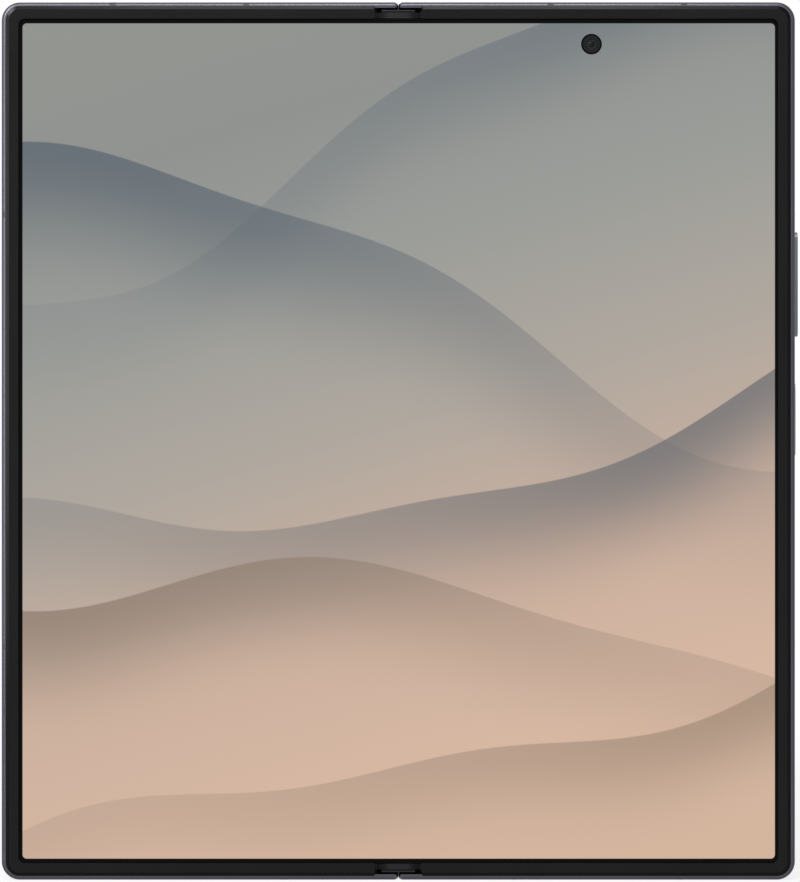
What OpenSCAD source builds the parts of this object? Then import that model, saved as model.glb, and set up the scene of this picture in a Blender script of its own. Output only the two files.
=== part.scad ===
// Book-style foldable smartphone, open flat and standing on its bottom edge.
// Two halves swing on a geared two-axis hinge whose spine lies between them.
// The pieces are drawn lying down: x runs across the open phone, y runs up it, and z comes out
// of the inner display, with z = 0 on the back of the frames. The right half is drawn for x > 0,
// and the left half is drawn the same way and mirrored.

/* [Body] */
// Width of the open phone across both frames
body_w = 143.2; // [138:0.1:150]
// Height of the phone
body_h = 158.4; // [152:0.1:166]
// Thickness of each frame
frame_t = 4.2; // [4.1:0.05:4.8]
// Gap between the two frames along the seam
seam_gap = 0.06; // [0.05:0.01:0.2]
// Gap between the front faces of the frames when the phone is closed
closed_gap = 0.5; // [0.45:0.01:0.6]
// Gap left between pieces that are set into each other
fit_gap = 0.05; // [0.03:0.01:0.08]

/* [Frame] */
// Thickness of the frame's side wall
wall = 1.3; // [1.2:0.05:1.5]
// Radius of the four outer corners
corner_r = 3.3; // [3:0.1:4.5]
// Radius of the frame's corners beside the seam
seam_corner_r = 0.7; // [0.65:0.05:0.9]
// Rounding of the frame's front and back edges
edge_round = 0.6; // [0.4:0.05:0.6]
// Thickness of the plate inside each frame that carries the display
mid_plate_t = 0.4; // [0.35:0.05:0.5]
// Thickness of the frame's top and bottom walls beside the spine
end_wall = 1.05; // [0.9:0.05:1.1]
// Thickness of the frame's back wall at the seam
seam_wall = 0.6; // [0.55:0.01:0.65]
// Distance from the seam to the wall of the component space
cradle_w = 4.6; // [4.5:0.1:5.5]
// Width of each antenna band
band_w = 1.15; // [0.8:0.05:1.5]
// Distance from the seam to the upper antenna bands
top_bands = [27.45, 51.55];
// Distance from the seam to the lower antenna bands
bottom_bands = [20.75, 50.7];
// Height of the side antenna bands above the middle of the phone
side_bands = [40.9, -37.15];

/* [Display] */
// Depth of the display's surface below the front face of the frame
display_drop = 0.15; // [0.1:0.01:0.2]
// Thickness of the folding display panel
panel_t = 0.25; // [0.2:0.01:0.3]
// Thickness of the metal plate under the display
plate_t = 0.2; // [0.15:0.01:0.25]
// Distance from the seam to the end of the part of the display that bends
fold_reach = 6; // [5.5:0.1:8]
// Distance from the seam to the edge of the metal plate
plate_start = 2.3; // [2.2:0.05:2.6]
// Height of the bezel above the frame's front face
bezel_rise = 0.18; // [0.1:0.01:0.2]
// Width of the bezel
bezel_w = 1.55; // [1.2:0.05:1.8]
// Groove between the frame and the bezel
bezel_groove = 0.1; // [0.05:0.01:0.15]
// Width of the bezel's leg beside the panel
bezel_leg = 0.2; // [0.15:0.01:0.25]
// Distance from the seam to the ends of the bezel
bezel_start = 4.2; // [4.15:0.05:5.2]

/* [Hinge] */
// Depth of the fold axes below the front face of the frames
axis_depth = 1.05; // [1.03:0.01:1.08]
// Running gap between the spine and the frames' cradles
spine_gap = 0.1; // [0.08:0.01:0.12]
// Wall thickness of the spine cover
spine_t = 0.28; // [0.25:0.01:0.3]
// Depth of the spine cover's rim below the fold axes
rim_drop = 0.15; // [0.12:0.01:0.25]
// Gap between the spine's ends and the frames' end walls
spine_end_gap = 0.45; // [0.3:0.05:0.6]
// Length of each hinge cap's visible top
cap_l = 1.45; // [1.2:0.05:1.5]
// Distance of each hinge mechanism from the middle of the phone
hinge_y = 50; // [40:1:56]
// Width of each bearing ear along the spine
ear_w = 1; // [0.8:0.1:1.4]
// Width of each hinge arm along the spine
arm_w = 3; // [2.5:0.1:4]
// Face width of the idler gears
idler_w = 2; // [1.5:0.1:3]
// Side clearance between the hinge's pieces along the spine
side_gap = 0.1; // [0.06:0.01:0.15]
// Radius of the hinge pins
pin_r = 0.25; // [0.2:0.01:0.27]
// Wall of the eyes and ears round the pins
eye_wall = 0.25; // [0.2:0.01:0.25]
// Running clearance of pins and gear journals in their bores
running_gap = 0.03; // [0.02:0.005:0.04]
// Thickness of the hinge arms
arm_t = 0.5; // [0.4:0.05:0.55]
// Length of the hinge arms beyond the cradle's wall
arm_reach = 5; // [4.5:0.1:6]
// Teeth of the gears on the shafts and idlers
pinion_teeth = 8;
// Teeth that a whole gear of the arms' size would have
sector_teeth = 16;
// Play between meshing teeth
backlash = 0.04; // [0.03:0.005:0.05]

/* [Keys] */
// Length of the volume key
volume_l = 18.9; // [16:0.1:22]
// Height of the volume key's middle above the middle of the phone
volume_y = 28.3; // [27.5:0.1:28.5]
// How far the volume key stands proud
volume_proud = 0.59; // [0.4:0.01:0.8]
// Length of the side key
side_l = 13.3; // [11:0.1:15]
// Height of the side key's middle above the middle of the phone
side_y = 3.9; // [2:0.1:6]
// How far the side key stands proud
side_proud = 0.17; // [0.1:0.01:0.25]
// Width of both keys across the frame
key_w = 1.9; // [1.6:0.05:2.1]
// Gap round the keys
key_gap = 0.1; // [0.08:0.01:0.15]
// Travel of the volume key at each of its switches
volume_travel = 0.1; // [0.08:0.01:0.15]
// Travel of the side key
side_travel = 0.15; // [0.1:0.01:0.16]

/* [SIM tray] */
// Length of the tray's door
door_l = 14.5; // [14:0.1:16]
// Width of the tray's door across the frame
door_w = 1.9; // [1.7:0.05:2]
// Height of the tray's middle below the middle of the phone
tray_y = 52; // [50:0.5:54]
// Length of the tray behind its door
tray_l = 21; // [19:0.5:23]
// Width of the tray
tray_w = 11.2; // [11:0.1:11.6]
// Thickness of the tray
tray_t = 0.8; // [0.7:0.05:0.9]
// Radius of the hole for the eject tool
eject_r = 0.45; // [0.4:0.01:0.5]

/* [Ports and sound] */
// Distance from the seam to the middle of the charging port
port_x = 35.5; // [33:0.5:38]
// Inside of the charging port, width and height
port_inner = [8.34, 2.56];
// Wall of the charging port's shell
port_shell = 0.2; // [0.15:0.01:0.2]
// Depth of the charging port
port_depth = 7.3; // [6.5:0.1:8]
// Distance from the seam to the first speaker slot at the bottom
bottom_slots_x = 42.2; // [41:0.1:43]
// Distance from the seam to the first speaker slot at the top
top_slots_x = 41.5; // [40.5:0.1:43]
// Distance from the seam to the microphone hole at the top
top_mic_x = 40; // [32:0.5:46]
// Distance from the seam to the microphone holes at the bottom
bottom_mic_x = 27; // [24:0.5:29]
// Spacing of the speaker slots
slot_pitch = 1.5; // [1.3:0.05:1.7]
// Number of speaker slots in each row
slot_count = 5;
// Width and height of each speaker slot
slot_size = [0.8, 1.5];
// Radius of the microphone holes
mic_r = 0.4; // [0.3:0.05:0.5]

/* [Cameras] */
// Width of the camera island
island_w = 17.6; // [16:0.1:19]
// Length of the camera island
island_l = 49; // [47:0.5:53]
// Height of the camera island above the back
island_rise = 1.2; // [0.8:0.05:1.3]
// Distance from the island to the outer side of the phone
island_side = 4.5; // [3.8:0.1:6]
// Distance from the island to the top of the phone
island_top = 6; // [4.5:0.1:8]
// Distance between neighbouring lenses
lens_pitch = 15.6; // [14.5:0.1:16.4]
// Outer radius of the lens rings
ring_r = 6.6; // [6:0.05:6.9]
// Wall of the lens rings
ring_wall = 1; // [0.8:0.05:1.2]
// Height of the lens rings above the island
ring_rise = 0.7; // [0.5:0.05:0.7]
// Distance from the seam to the inner camera
selfie_x = 34.86; // [30:0.1:40]
// Distance from the top of the phone to the inner camera
selfie_top = 7.58; // [7:0.01:9]
// Radius of the hole in the display over the inner camera
selfie_r = 1.88; // [1.7:0.01:2.1]

/* [Glass and inner pieces] */
// Thickness of the back glass and of the cover display's glass
glass_t = 0.5; // [0.4:0.05:0.55]
// Width of the metal rim round the glass on the back
glass_rim = 0.9; // [0.8:0.05:1]
// Distance from the seam to the glass on the back
glass_start = 2.2; // [2.1:0.05:2.6]
// Thickness of the cover display under its glass
cover_panel_t = 0.6; // [0.5:0.05:0.65]
// Thickness of the circuit boards
board_t = 0.6; // [0.5:0.05:0.8]
// Distance from the seam to the batteries
battery_x = 12; // [11.5:0.5:14]
// Gap between the batteries and the frame's outer side wall
battery_side = 4.3; // [3.8:0.1:6]

/* [Hidden] */
$fn = 48;

eps = 0.01; // how far a cutting tool passes the face that it opens
press_gap = 0.01; // gap round pieces that are fixed in their seats
open = 1; // how far a cutting tool reaches into the free space outside

// Outline of one half
half_w = body_w / 2; // x of the outer side
half_h = body_h / 2; // y of the top
seam_x = seam_gap / 2; // x of the seam face
inner_x = half_w - wall; // x of the side wall's inner face
inner_y = half_h - wall; // y of the end walls' inner faces
inner_r = corner_r - wall; // corner radius inside the wall
mid_z = frame_t / 2; // middle of the frame's thickness

// Layers under the inner display, from the front
panel_top = frame_t - display_drop;
panel_z = panel_top - panel_t;
plate_z = panel_z - plate_t;
mid_plate_z = plate_z - mid_plate_t;
bezel_x = inner_x - bezel_groove; // x of the bezel's outer side
bezel_y = inner_y - bezel_groove;
bezel_r = inner_r - bezel_groove;
bezel_top = frame_t + bezel_rise;
bezel_round = 0.8 * bezel_rise;
panel_x = bezel_x - bezel_leg - fit_gap; // x of the panel's outer side
panel_y = bezel_y - bezel_leg - fit_gap;
panel_r = bezel_r - bezel_leg - fit_gap;

// Fold axes: closing the phone turns each half a quarter turn about its own axis
axis_x = axis_depth + closed_gap / 2;
axis_z = frame_t - axis_depth;
cradle_r = axis_z - seam_wall; // the frame's hollow round its fold axis
spine_r = cradle_r - spine_gap; // outside of the spine round each axis
spine_inner_r = spine_r - spine_t;
rim_z = axis_z - rim_drop; // top of the spine cover
cradle_y = half_h - end_wall; // y of the cradle's ends
spine_y = cradle_y - spine_end_gap; // y of the spine's ends
cap_y = spine_y - cap_l; // y where the hinge caps' visible tops end
cap_foot = 1.2; // length of each cap's foot under the display
cap_half_w = 3.4; // half the width of each cap's visible top
cap_lip_z = 2.4; // top of the lip that closes the slot between each cap and the end wall
cap_lip_y = cradle_y - spine_gap;
cap_top_t = 1.1;
cap_round = 0.3;
cap_z = panel_z - fit_gap; // top of the hinge caps
fold_y = cap_y - seam_gap; // half the length of the bending part of the display
swing_r = axis_x - seam_gap / 2; // the frames' front corners at the seam are rounded to this

// Gears: the module is what the depth between the axes and the spine's floor leaves room for
floor_gap = 0.045;
root_spread = 1.25; // width of a tooth's foot against its width at the pitch circle, as angles
pinion_pitch = pinion_teeth / 2;
sector_pitch = sector_teeth / 2;
spine_floor = axis_z - spine_inner_r;
gear_m = (axis_z - spine_floor - floor_gap) / (sector_pitch + 2 * pinion_pitch + 1);
pinion_r = gear_m * pinion_pitch;
sector_r = gear_m * sector_pitch;
drive_z = axis_z - sector_r - pinion_r; // shaft of the gear under each axis
idler_x = pinion_r; // the idlers mesh with each other at the middle
idler_z = drive_z + sqrt(pow(2 * pinion_r, 2) - pow(axis_x - idler_x, 2));
addendum = 0.9; // in modules
dedendum = 1.2;
pressure_angle = 20;
journal_r = gear_m * (pinion_pitch - dedendum) * 0.72;
drive_angle = atan2(idler_z - drive_z, idler_x - axis_x); // from drive shaft to idler
pinion_step = 360 / pinion_teeth;
eye_r = pin_r + running_gap + eye_wall;

// Places along each hinge mechanism, from its lower end
mech_l = 3 * ear_w + arm_w + idler_w + 4 * side_gap;
ear1_y = -mech_l / 2;
arm_y = ear1_y + ear_w + side_gap;
ear2_y = arm_y + arm_w + side_gap;
idler_y = ear2_y + ear_w + side_gap;
ear3_y = idler_y + idler_w + side_gap;
hinge_places = [hinge_y, -hinge_y];

// Hinge arms in the frames
arm_z = plate_z - arm_t; // underside of the arms
arm_end = cradle_w + arm_reach;
boss_t = 0.9; // height of the frame's boss under each arm
boss_side = 0.5; // how far the boss is wider than the arm
boss_root = 0.3; // how far the boss runs into the cradle's wall
screw_r = 0.3;
screw_head_r = 0.55;
screw_head_t = 0.25;
screw_inset = 1.2; // from the arm's end to its outer screw
screw_pitch = 2.2;

// Keys
flange_t = 0.35;
flange_lip = 0.45; // how far a key's flange is wider than its slot
volume_play = 0.2; // room for the rocking volume key's flange to move outwards
side_play = fit_gap;
touch_gap = 0.02; // left between a key at the end of its travel and its switch
key_round = 0.12;
switch_t = 0.35;
dome_r = 0.7;
dome_t = 0.25;
dome_offset = 6; // from the middle of the volume key to each of its switches
dome_drop = 0.2; // of the domes below the middle of the frame's thickness
flange_round = 0.3;
volume_flange_x = inner_x - volume_play - flange_t;
side_flange_x = inner_x - side_play - flange_t;

// SIM tray
door_t = wall - eps;
tray_offset = -1; // the tray lies below the door's middle, and leaves room for the eject hole
eject_offset = 5.9;
reader_gap = 0.1;
reader_wall = 0.6;
card = [12.35, 8.85, 0.67]; // nano SIM card
card_ledge = 0.7;
card_inset = 1.5; // from the tray's inner end to the card's seat

// Charging port
port_outer = [port_inner[0] + 2 * port_shell, port_inner[1] + 2 * port_shell];
port_z = plate_z - fit_gap / 2 - port_outer[1] / 2;
port_inset = 0.15; // from the bottom edge to the port's mouth
port_back_t = 0.6;
tongue = [6.7, 0.7]; // width and thickness of the port's tongue
tongue_l = 4.6;

// Cameras
island_x = half_w - island_side - island_w / 2;
island_y = half_h - island_top - island_l / 2;
lens_places = [island_y + lens_pitch, island_y, island_y - lens_pitch];
island_round = 0.4;
ring_seat = 0.7; // depth of the rings' seats in the island
barrel_r = ring_r - ring_wall - 0.6; // hole through the island for each camera's barrel
lens_t = 0.4;
lens_drop = 0.15; // depth of the lens glass below the ring's rim
module_w = 10.4;
selfie_y = half_h - selfie_top;
selfie_module = 5.2;
selfie_lift = 0.7; // from the back glass to the inner camera
selfie_seat_t = 0.25; // depth of the seat for the inner camera's lens
selfie_seat_r = selfie_r - 0.5;
selfie_lens_t = 0.16;
cover_camera_r = 1.8;
flash_r = 2.1;
flash_gap = 4.5; // from the island to the middle of the flash
flash_x = island_x - island_w / 2 - flash_gap;

// Glass
glass_x = half_w - glass_rim;
glass_y = half_h - glass_rim;
glass_r = corner_r - glass_rim;
glass_lip_r = 0.6; // corner radius of the glass beside the seam

// Inner pieces, between the back and the plate
ceiling_z = mid_plate_z - fit_gap; // the inner pieces reach up to the plate
back_gap = 0.4; // room kept behind the right half's back glass
right_floor_z = glass_t + back_gap;
cover_gap = 0.1; // room kept behind the cover display
cover_inset = 0.6; // between the cover display and the walls round it
left_floor_z = glass_t + cover_panel_t + cover_gap;
pocket_r = 0.8;
can_t = 0.65; // height of the parts on the boards
board_z = ceiling_z - can_t - board_t;
board_x = battery_x - 1;
main_board_y = 24; // lower end of the main board
main_board_notch_r = 2;
board_gap = 0.6; // between a board and the piece beside it
front_cans = [[14, 40, 20, 24], [37, 28, 13, 30]]; // x, y, width and height of the cans
back_can = [14, 30, 26, 30];
right_battery_ends = [-55, 21];
left_battery_ends = [-36, 56];
battery_corner_r = 1.5;
coil_place = [37, -17];
coil_r = [12, 21]; // inner and outer radius
coil_t = 0.3;
sub_board_x = 24;
sub_board_h = 18;
left_board_size = [33, 34];
left_can = [14, 22]; // width and height
left_can_inset = [3, 4];
speaker_lead = 1.5; // from a speaker's side to its first slot
speaker_back = 0.6; // between a speaker and the end wall
bottom_speaker_h = 17;
top_speaker_size = [18, 15];
motor_place = [17, -66];
motor_size = [8, 14];
magnet = [1.5, 8, 1.6];
magnet_places = [-15, -32];

// ---------- helpers ----------

// Stand the lying pieces up, with the display facing -y and the bottom edge on z = 0
module standing() {
    translate([0, frame_t / 2, body_h / 2]) rotate([90, 0, 0]) children();
}

module mirrored() {
    mirror([1, 0, 0]) children();
}

// Extrude a profile drawn in x and z along y
module along_y(y0, y1) {
    translate([0, y1, 0]) rotate([90, 0, 0]) linear_extrude(y1 - y0) children();
}

// Extrude a profile drawn in y and z along x
module along_x(x0, x1) {
    translate([x0, 0, 0]) rotate([90, 0, 90]) linear_extrude(x1 - x0) children();
}

// Box from two opposite corners
module block(low, high) {
    translate(low) cube(high - low);
}

// Rectangle centred on the origin with round corners
module soft_rect(w, h, r) {
    square([w, h - 2 * r], center = true);
    square([w - 2 * r, h], center = true);
    for (sx = [-1, 1], sy = [-1, 1]) {
        translate([sx * (w / 2 - r), sy * (h / 2 - r)]) circle(r);
    }
}

// Outline of one half between x0 and x1, with its own corner radii beside the seam and outside
module half_plan(x0, x1, y, r0, r1) {
    translate([x0 + r0, -y]) square([x1 - x0 - r0 - r1, 2 * y]);
    translate([x1 - r1, -y + r1]) square([r1, 2 * (y - r1)]);
    if (r0 > 0) translate([x0, -y + r0]) square([r0, 2 * (y - r0)]);
    for (s = [-1, 1]) {
        translate([x1 - r1, s * (y - r1)]) circle(r1);
        if (r0 > 0) translate([x0 + r0, s * (y - r0)]) circle(r0);
    }
}

// Section of the frame's edge, with the outer side on x = 0 and the depth towards -x
module edge_section(depth) {
    translate([-depth, 0]) square([depth - edge_round, frame_t]);
    translate([-edge_round, edge_round]) square([edge_round, frame_t - 2 * edge_round]);
    for (z = [edge_round, frame_t - edge_round]) {
        translate([-edge_round, z]) intersection() {
            circle(edge_round);
            translate([0, z < frame_t / 2 ? -edge_round : 0]) square(edge_round);
        }
    }
}

// Quarter turn of a section about an upright axis, from angle a; the section's outer side is at r
module corner(x, y, r, a) {
    translate([x, y, 0]) rotate([0, 0, a]) rotate_extrude(angle = 90) translate([r, 0]) children();
}

// Outer form of one half: a slab with round corners and rounded front and back edges
module half_slab() {
    core_x0 = seam_x + seam_corner_r;
    core_x1 = half_w - corner_r;
    core_y = half_h - corner_r;
    block([core_x0, -core_y, 0], [core_x1, core_y, frame_t]);
    along_y(-core_y, core_y) translate([half_w, 0]) edge_section(corner_r);
    along_y(-(half_h - seam_corner_r), half_h - seam_corner_r)
        translate([seam_x, 0]) mirror([1, 0]) edge_section(seam_corner_r);
    along_x(core_x0, core_x1) translate([half_h, 0]) edge_section(corner_r);
    along_x(core_x0, core_x1) translate([-half_h, 0]) mirror([1, 0]) edge_section(corner_r);
    corner(core_x1, core_y, corner_r, 0) edge_section(corner_r);
    corner(core_x1, -core_y, corner_r, -90) edge_section(corner_r);
    corner(core_x0, half_h - seam_corner_r, seam_corner_r, 90) edge_section(seam_corner_r);
    corner(core_x0, -(half_h - seam_corner_r), seam_corner_r, 180) edge_section(seam_corner_r);
}

// Section of the hollow that cradles the spine, open at the seam and at the front
module cradle_section() {
    translate([axis_x, axis_z]) circle(cradle_r);
    translate([-open, seam_wall]) square([open + axis_x, frame_t + open - seam_wall]);
    translate([0, axis_z]) square([axis_x + cradle_r - 2 * eps, frame_t + open - axis_z]);
}

// Front corner of the end walls beyond the turning circle, where the halves would meet
module swing_section() {
    difference() {
        translate([-open, axis_z]) square([open + axis_x, frame_t + open - axis_z]);
        translate([axis_x, axis_z]) circle(swing_r);
    }
}

// Outline of a bar with round ends, along the first axis
module pill(l, w) {
    square([l - w, w], center = true);
    for (s = [-1, 1]) translate([s * (l - w) / 2, 0]) circle(w / 2);
}

// Slots and microphone holes through one end wall, on the side given by end = 1 or -1
module sound_slots(first_x, end) {
    for (i = [0 : slot_count - 1]) {
        translate([first_x + i * slot_pitch, end * half_h, mid_z]) rotate([90, 0, 0])
            linear_extrude(3 * wall, center = true) rotate(90) pill(slot_size[1], slot_size[0]);
    }
}

module mic_hole(x, end) {
    translate([x, end * (half_h - wall / 2), mid_z]) rotate([90, 0, 0])
        cylinder(r = mic_r, h = wall + 2 * open, center = true);
}

// Slot through the outer side wall for a key or the tray's door
module side_slot(y, l, w) {
    along_x(inner_x - eps, half_w + open) translate([y, mid_z]) pill(l, w);
}

// ---------- pieces that both halves have, drawn for the right ----------

module half_frame() {
    difference() {
        half_slab();
        // room for the display in the front
        translate([0, 0, plate_z]) linear_extrude(frame_t)
            half_plan(-open, inner_x, inner_y, 0, inner_r);
        // component space behind the plate
        translate([0, 0, -open]) linear_extrude(open + mid_plate_z)
            half_plan(cradle_w, inner_x, inner_y, pocket_r, inner_r);
        // seat of the glass in the back
        translate([0, 0, -open]) linear_extrude(open + glass_t)
            half_plan(glass_start, glass_x, glass_y, glass_lip_r, glass_r);
        along_y(-cradle_y, cradle_y) cradle_section();
        along_y(-half_h - open, half_h + open) swing_section();
        band_cuts();
        for (y = hinge_places) {
            block([axis_x, y + arm_y - fit_gap, arm_z],
                [arm_end + fit_gap, y + arm_y + arm_w + fit_gap, frame_t]);
        }
    }
    for (y = hinge_places) arm_boss(y);
}

// Cuts through the walls for the antenna bands
module band_cuts() {
    w = band_w / 2;
    for (x = top_bands) block([x - w, inner_y, -open], [x + w, half_h + open, frame_t + open]);
    for (x = bottom_bands) block([x - w, -half_h - open, -open], [x + w, -inner_y, frame_t + open]);
    for (y = side_bands) block([inner_x, y - w, -open], [half_w + open, y + w, frame_t + open]);
}

// Boss that carries the outer end of a hinge arm
module arm_boss(y) {
    difference() {
        block([cradle_w - boss_root, y + arm_y - boss_side, arm_z - boss_t],
            [arm_end + boss_side, y + arm_y + arm_w + boss_side, mid_plate_z + eps]);
        block([0, y + arm_y - fit_gap, arm_z],
            [arm_end + fit_gap, y + arm_y + arm_w + fit_gap, frame_t]);
        for (x = arm_screws()) {
            translate([x, y + arm_y + arm_w / 2, 0]) cylinder(r = screw_r, h = frame_t);
        }
    }
}

// Distances from the seam to the two screws of each arm
function arm_screws() = [arm_end - screw_inset, arm_end - screw_inset - screw_pitch];

// Section of a band: the frame's edge section less the seat of the glass
module band_section() {
    difference() {
        edge_section(wall);
        translate([-wall - eps, -open]) square([wall + eps - glass_rim, open + glass_t]);
    }
}

// Insulating bands, set between cuts in the frame
module half_bands() {
    w = band_w / 2;
    for (x = top_bands) along_x(x - w, x + w) translate([half_h, 0]) band_section();
    for (x = bottom_bands) {
        along_x(x - w, x + w) translate([-half_h, 0]) mirror([1, 0]) band_section();
    }
    for (y = side_bands) along_y(y - w, y + w) translate([half_w, 0]) band_section();
}

// Section of the bezel: a leg beside the panel under a flange with a rounded top
module bezel_section() {
    translate([-bezel_leg, plate_z]) square([bezel_leg, panel_top - plate_z]);
    translate([-bezel_w, panel_top]) square([bezel_w, bezel_top - bezel_round - panel_top]);
    translate([-bezel_w + bezel_round, panel_top])
        square([bezel_w - 2 * bezel_round, bezel_top - panel_top]);
    for (x = [-bezel_w + bezel_round, -bezel_round]) {
        translate([x, bezel_top - bezel_round]) circle(bezel_round);
    }
}

module half_bezel() {
    core_x = half_w - corner_r;
    core_y = half_h - corner_r;
    along_y(-core_y, core_y) translate([bezel_x, 0]) bezel_section();
    along_x(bezel_start, core_x) translate([bezel_y, 0]) bezel_section();
    along_x(bezel_start, core_x) translate([-bezel_y, 0]) mirror([1, 0]) bezel_section();
    corner(core_x, core_y, bezel_r, 0) bezel_section();
    corner(core_x, -core_y, bezel_r, -90) bezel_section();
}

// Metal plate under the display, narrower beside the hinge caps
module half_support_plate() {
    translate([0, 0, plate_z]) linear_extrude(plate_t) {
        half_plan(cradle_w, panel_x, panel_y, 0, panel_r);
        translate([plate_start, -fold_y]) square([cradle_w - plate_start + eps, 2 * fold_y]);
    }
}

module half_display_panel() {
    translate([0, 0, panel_z]) linear_extrude(panel_t)
        half_plan(fold_reach + fit_gap, panel_x, panel_y, 0, panel_r);
}

// Sheet of glass set into the back
module half_glass() {
    linear_extrude(glass_t - fit_gap) half_plan(glass_start + fit_gap, glass_x - fit_gap,
        glass_y - fit_gap, glass_lip_r, glass_r - fit_gap);
}

// Eye and toothed sector round the fold axis, with the tang that is screwed to the frame.
// turn sets the teeth, so that the two sides mesh with the gear train between them.
module half_arms(turn) {
    for (y = hinge_places) difference() {
        union() {
            along_y(y + arm_y, y + arm_y + arm_w) translate([axis_x, axis_z]) {
                circle(eye_r);
                rotate(turn) polygon(sector_points(5));
            }
            block([axis_x, y + arm_y, arm_z], [arm_end, y + arm_y + arm_w, plate_z - eps]);
        }
        along_y(y + arm_y - eps, y + arm_y + arm_w + eps)
            translate([axis_x, axis_z]) circle(pin_r + running_gap);
        for (x = arm_screws()) translate([x, y + arm_y + arm_w / 2, 0]) {
            cylinder(r = screw_r, h = frame_t);
            translate([0, 0, plate_z - screw_head_t - eps]) cylinder(r = screw_head_r, h = frame_t);
        }
    }
}

module half_arm_screws() {
    for (y = hinge_places, x = arm_screws()) translate([x, y + arm_y + arm_w / 2, 0]) {
        translate([0, 0, arm_z - boss_t]) cylinder(r = screw_r - eps, h = boss_t + arm_t - 2 * eps);
        translate([0, 0, plate_z - screw_head_t])
            cylinder(r = screw_head_r - fit_gap, h = screw_head_t - 2 * eps);
    }
}

module half_magnets() {
    for (y = magnet_places) {
        translate([inner_x - fit_gap - magnet[0], y - magnet[1] / 2, ceiling_z - magnet[2]]) cube(magnet);
    }
}

// ---------- gears ----------

// Half the width of a tooth at radius r, in degrees: its flanks lean in by the pressure angle
function tooth_half(r, pitch_r) =
    (PI * gear_m / 4 - backlash / 4 - (r - pitch_r) * tan(pressure_angle)) / r * 180 / PI;

function polar(r, a) = [r * cos(a), r * sin(a)];

// Four corners of the tooth whose middle lies at angle a
function tooth(pitch_r, a) =
    let (root = pitch_r - dedendum * gear_m, tip = pitch_r + addendum * gear_m,
        hr = root_spread * tooth_half(pitch_r, pitch_r), ht = tooth_half(tip, pitch_r))
    [polar(root, a - hr), polar(tip, a - ht), polar(tip, a + ht), polar(root, a + hr)];

// Whole gear with a tooth on its +x axis
function gear_points(teeth) = [
    for (i = [0 : teeth - 1]) each tooth(gear_m * teeth / 2, i * 360 / teeth)
];

// Toothed sector below its axis, with the middle of a tooth gap straight down
function sector_points(count) = [
    [0, 0],
    for (i = [-count : 0]) each tooth(sector_r, -90 + (i + 0.5) * 360 / sector_teeth)
];

// Gear train under the right axis: phases that bring tooth to gap at each contact
right_drive_turn = 90; // a tooth points up into the sector's gap
drive_phase = right_drive_turn - drive_angle; // tooth against the line to the idler
right_idler_turn = drive_angle + 180 - drive_phase + pinion_step / 2;

// Shaft along y with gears on it, each [from, to]
module shaft(x, z, turn, y0, y1, gears) {
    along_y(y0, y1) translate([x, z]) circle(journal_r);
    for (g = gears) along_y(g[0], g[1]) translate([x, z]) rotate(turn) polygon(gear_points(pinion_teeth));
}

module drive_gears(turn) {
    for (y = hinge_places) {
        shaft(axis_x, drive_z, turn, y + ear1_y, y + ear3_y + ear_w,
            [[y + arm_y, y + arm_y + arm_w], [y + idler_y, y + idler_y + idler_w]]);
    }
}

module idler_gears(turn) {
    for (y = hinge_places) {
        shaft(idler_x, idler_z, turn, y + ear2_y, y + ear3_y + ear_w,
            [[y + idler_y, y + idler_y + idler_w]]);
    }
}

// ---------- spine ----------

// Section round both axes at radius r, cut off at height top
module spine_section(r, top) {
    intersection() {
        union() {
            for (s = [-1, 1]) translate([s * axis_x, axis_z]) circle(r);
            translate([-axis_x, axis_z - r]) square([2 * axis_x, r]);
        }
        translate([-2 * cradle_w, 0]) square([4 * cradle_w, top]);
    }
}

// Section of a bearing ear, without its bores
module ear_section() {
    spine_section(spine_inner_r - fit_gap, rim_z);
    for (s = [-1, 1]) translate([s * axis_x, axis_z]) circle(eye_r);
}

// Ear with bores for the pins and for the shafts that run in it
module ear(y, with_idlers) {
    along_y(y, y + ear_w) difference() {
        ear_section();
        for (s = [-1, 1]) {
            translate([s * axis_x, axis_z]) circle(pin_r + press_gap);
            translate([s * axis_x, drive_z]) circle(journal_r + running_gap);
            if (with_idlers) translate([s * idler_x, idler_z]) circle(journal_r + running_gap);
        }
    }
}

// Three ears joined by rails that lie along the spine, outside the arms' toothed sectors
module hinge_bracket(y) {
    rail_x = axis_x + sector_r + 2 * gear_m;
    ear(y + ear1_y, false);
    ear(y + ear2_y, true);
    ear(y + ear3_y, true);
    for (s = [0, 1], span = [[ear1_y + ear_w, ear2_y], [ear2_y + ear_w, ear3_y]]) {
        mirror([s, 0, 0]) along_y(y + span[0], y + span[1]) intersection() {
            spine_section(spine_inner_r - 2 * fit_gap, rim_z - fit_gap);
            translate([rail_x, 0]) square([cradle_w, frame_t]);
        }
    }
}

// Cap that closes an end of the spine and shows beside the display
module hinge_cap() {
    foot_top = plate_z - 2 * fit_gap;
    along_y(cap_y - cap_foot, cap_y) spine_section(spine_r, foot_top);
    along_y(cap_y, spine_y) {
        spine_section(spine_r, rim_z);
        translate([0, cap_z - cap_top_t / 2]) soft_rect(2 * cap_half_w, cap_top_t, cap_round);
    }
    along_y(spine_y, cap_lip_y) spine_section(spine_r, cap_lip_z);
}

// ---------- right half ----------

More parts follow.
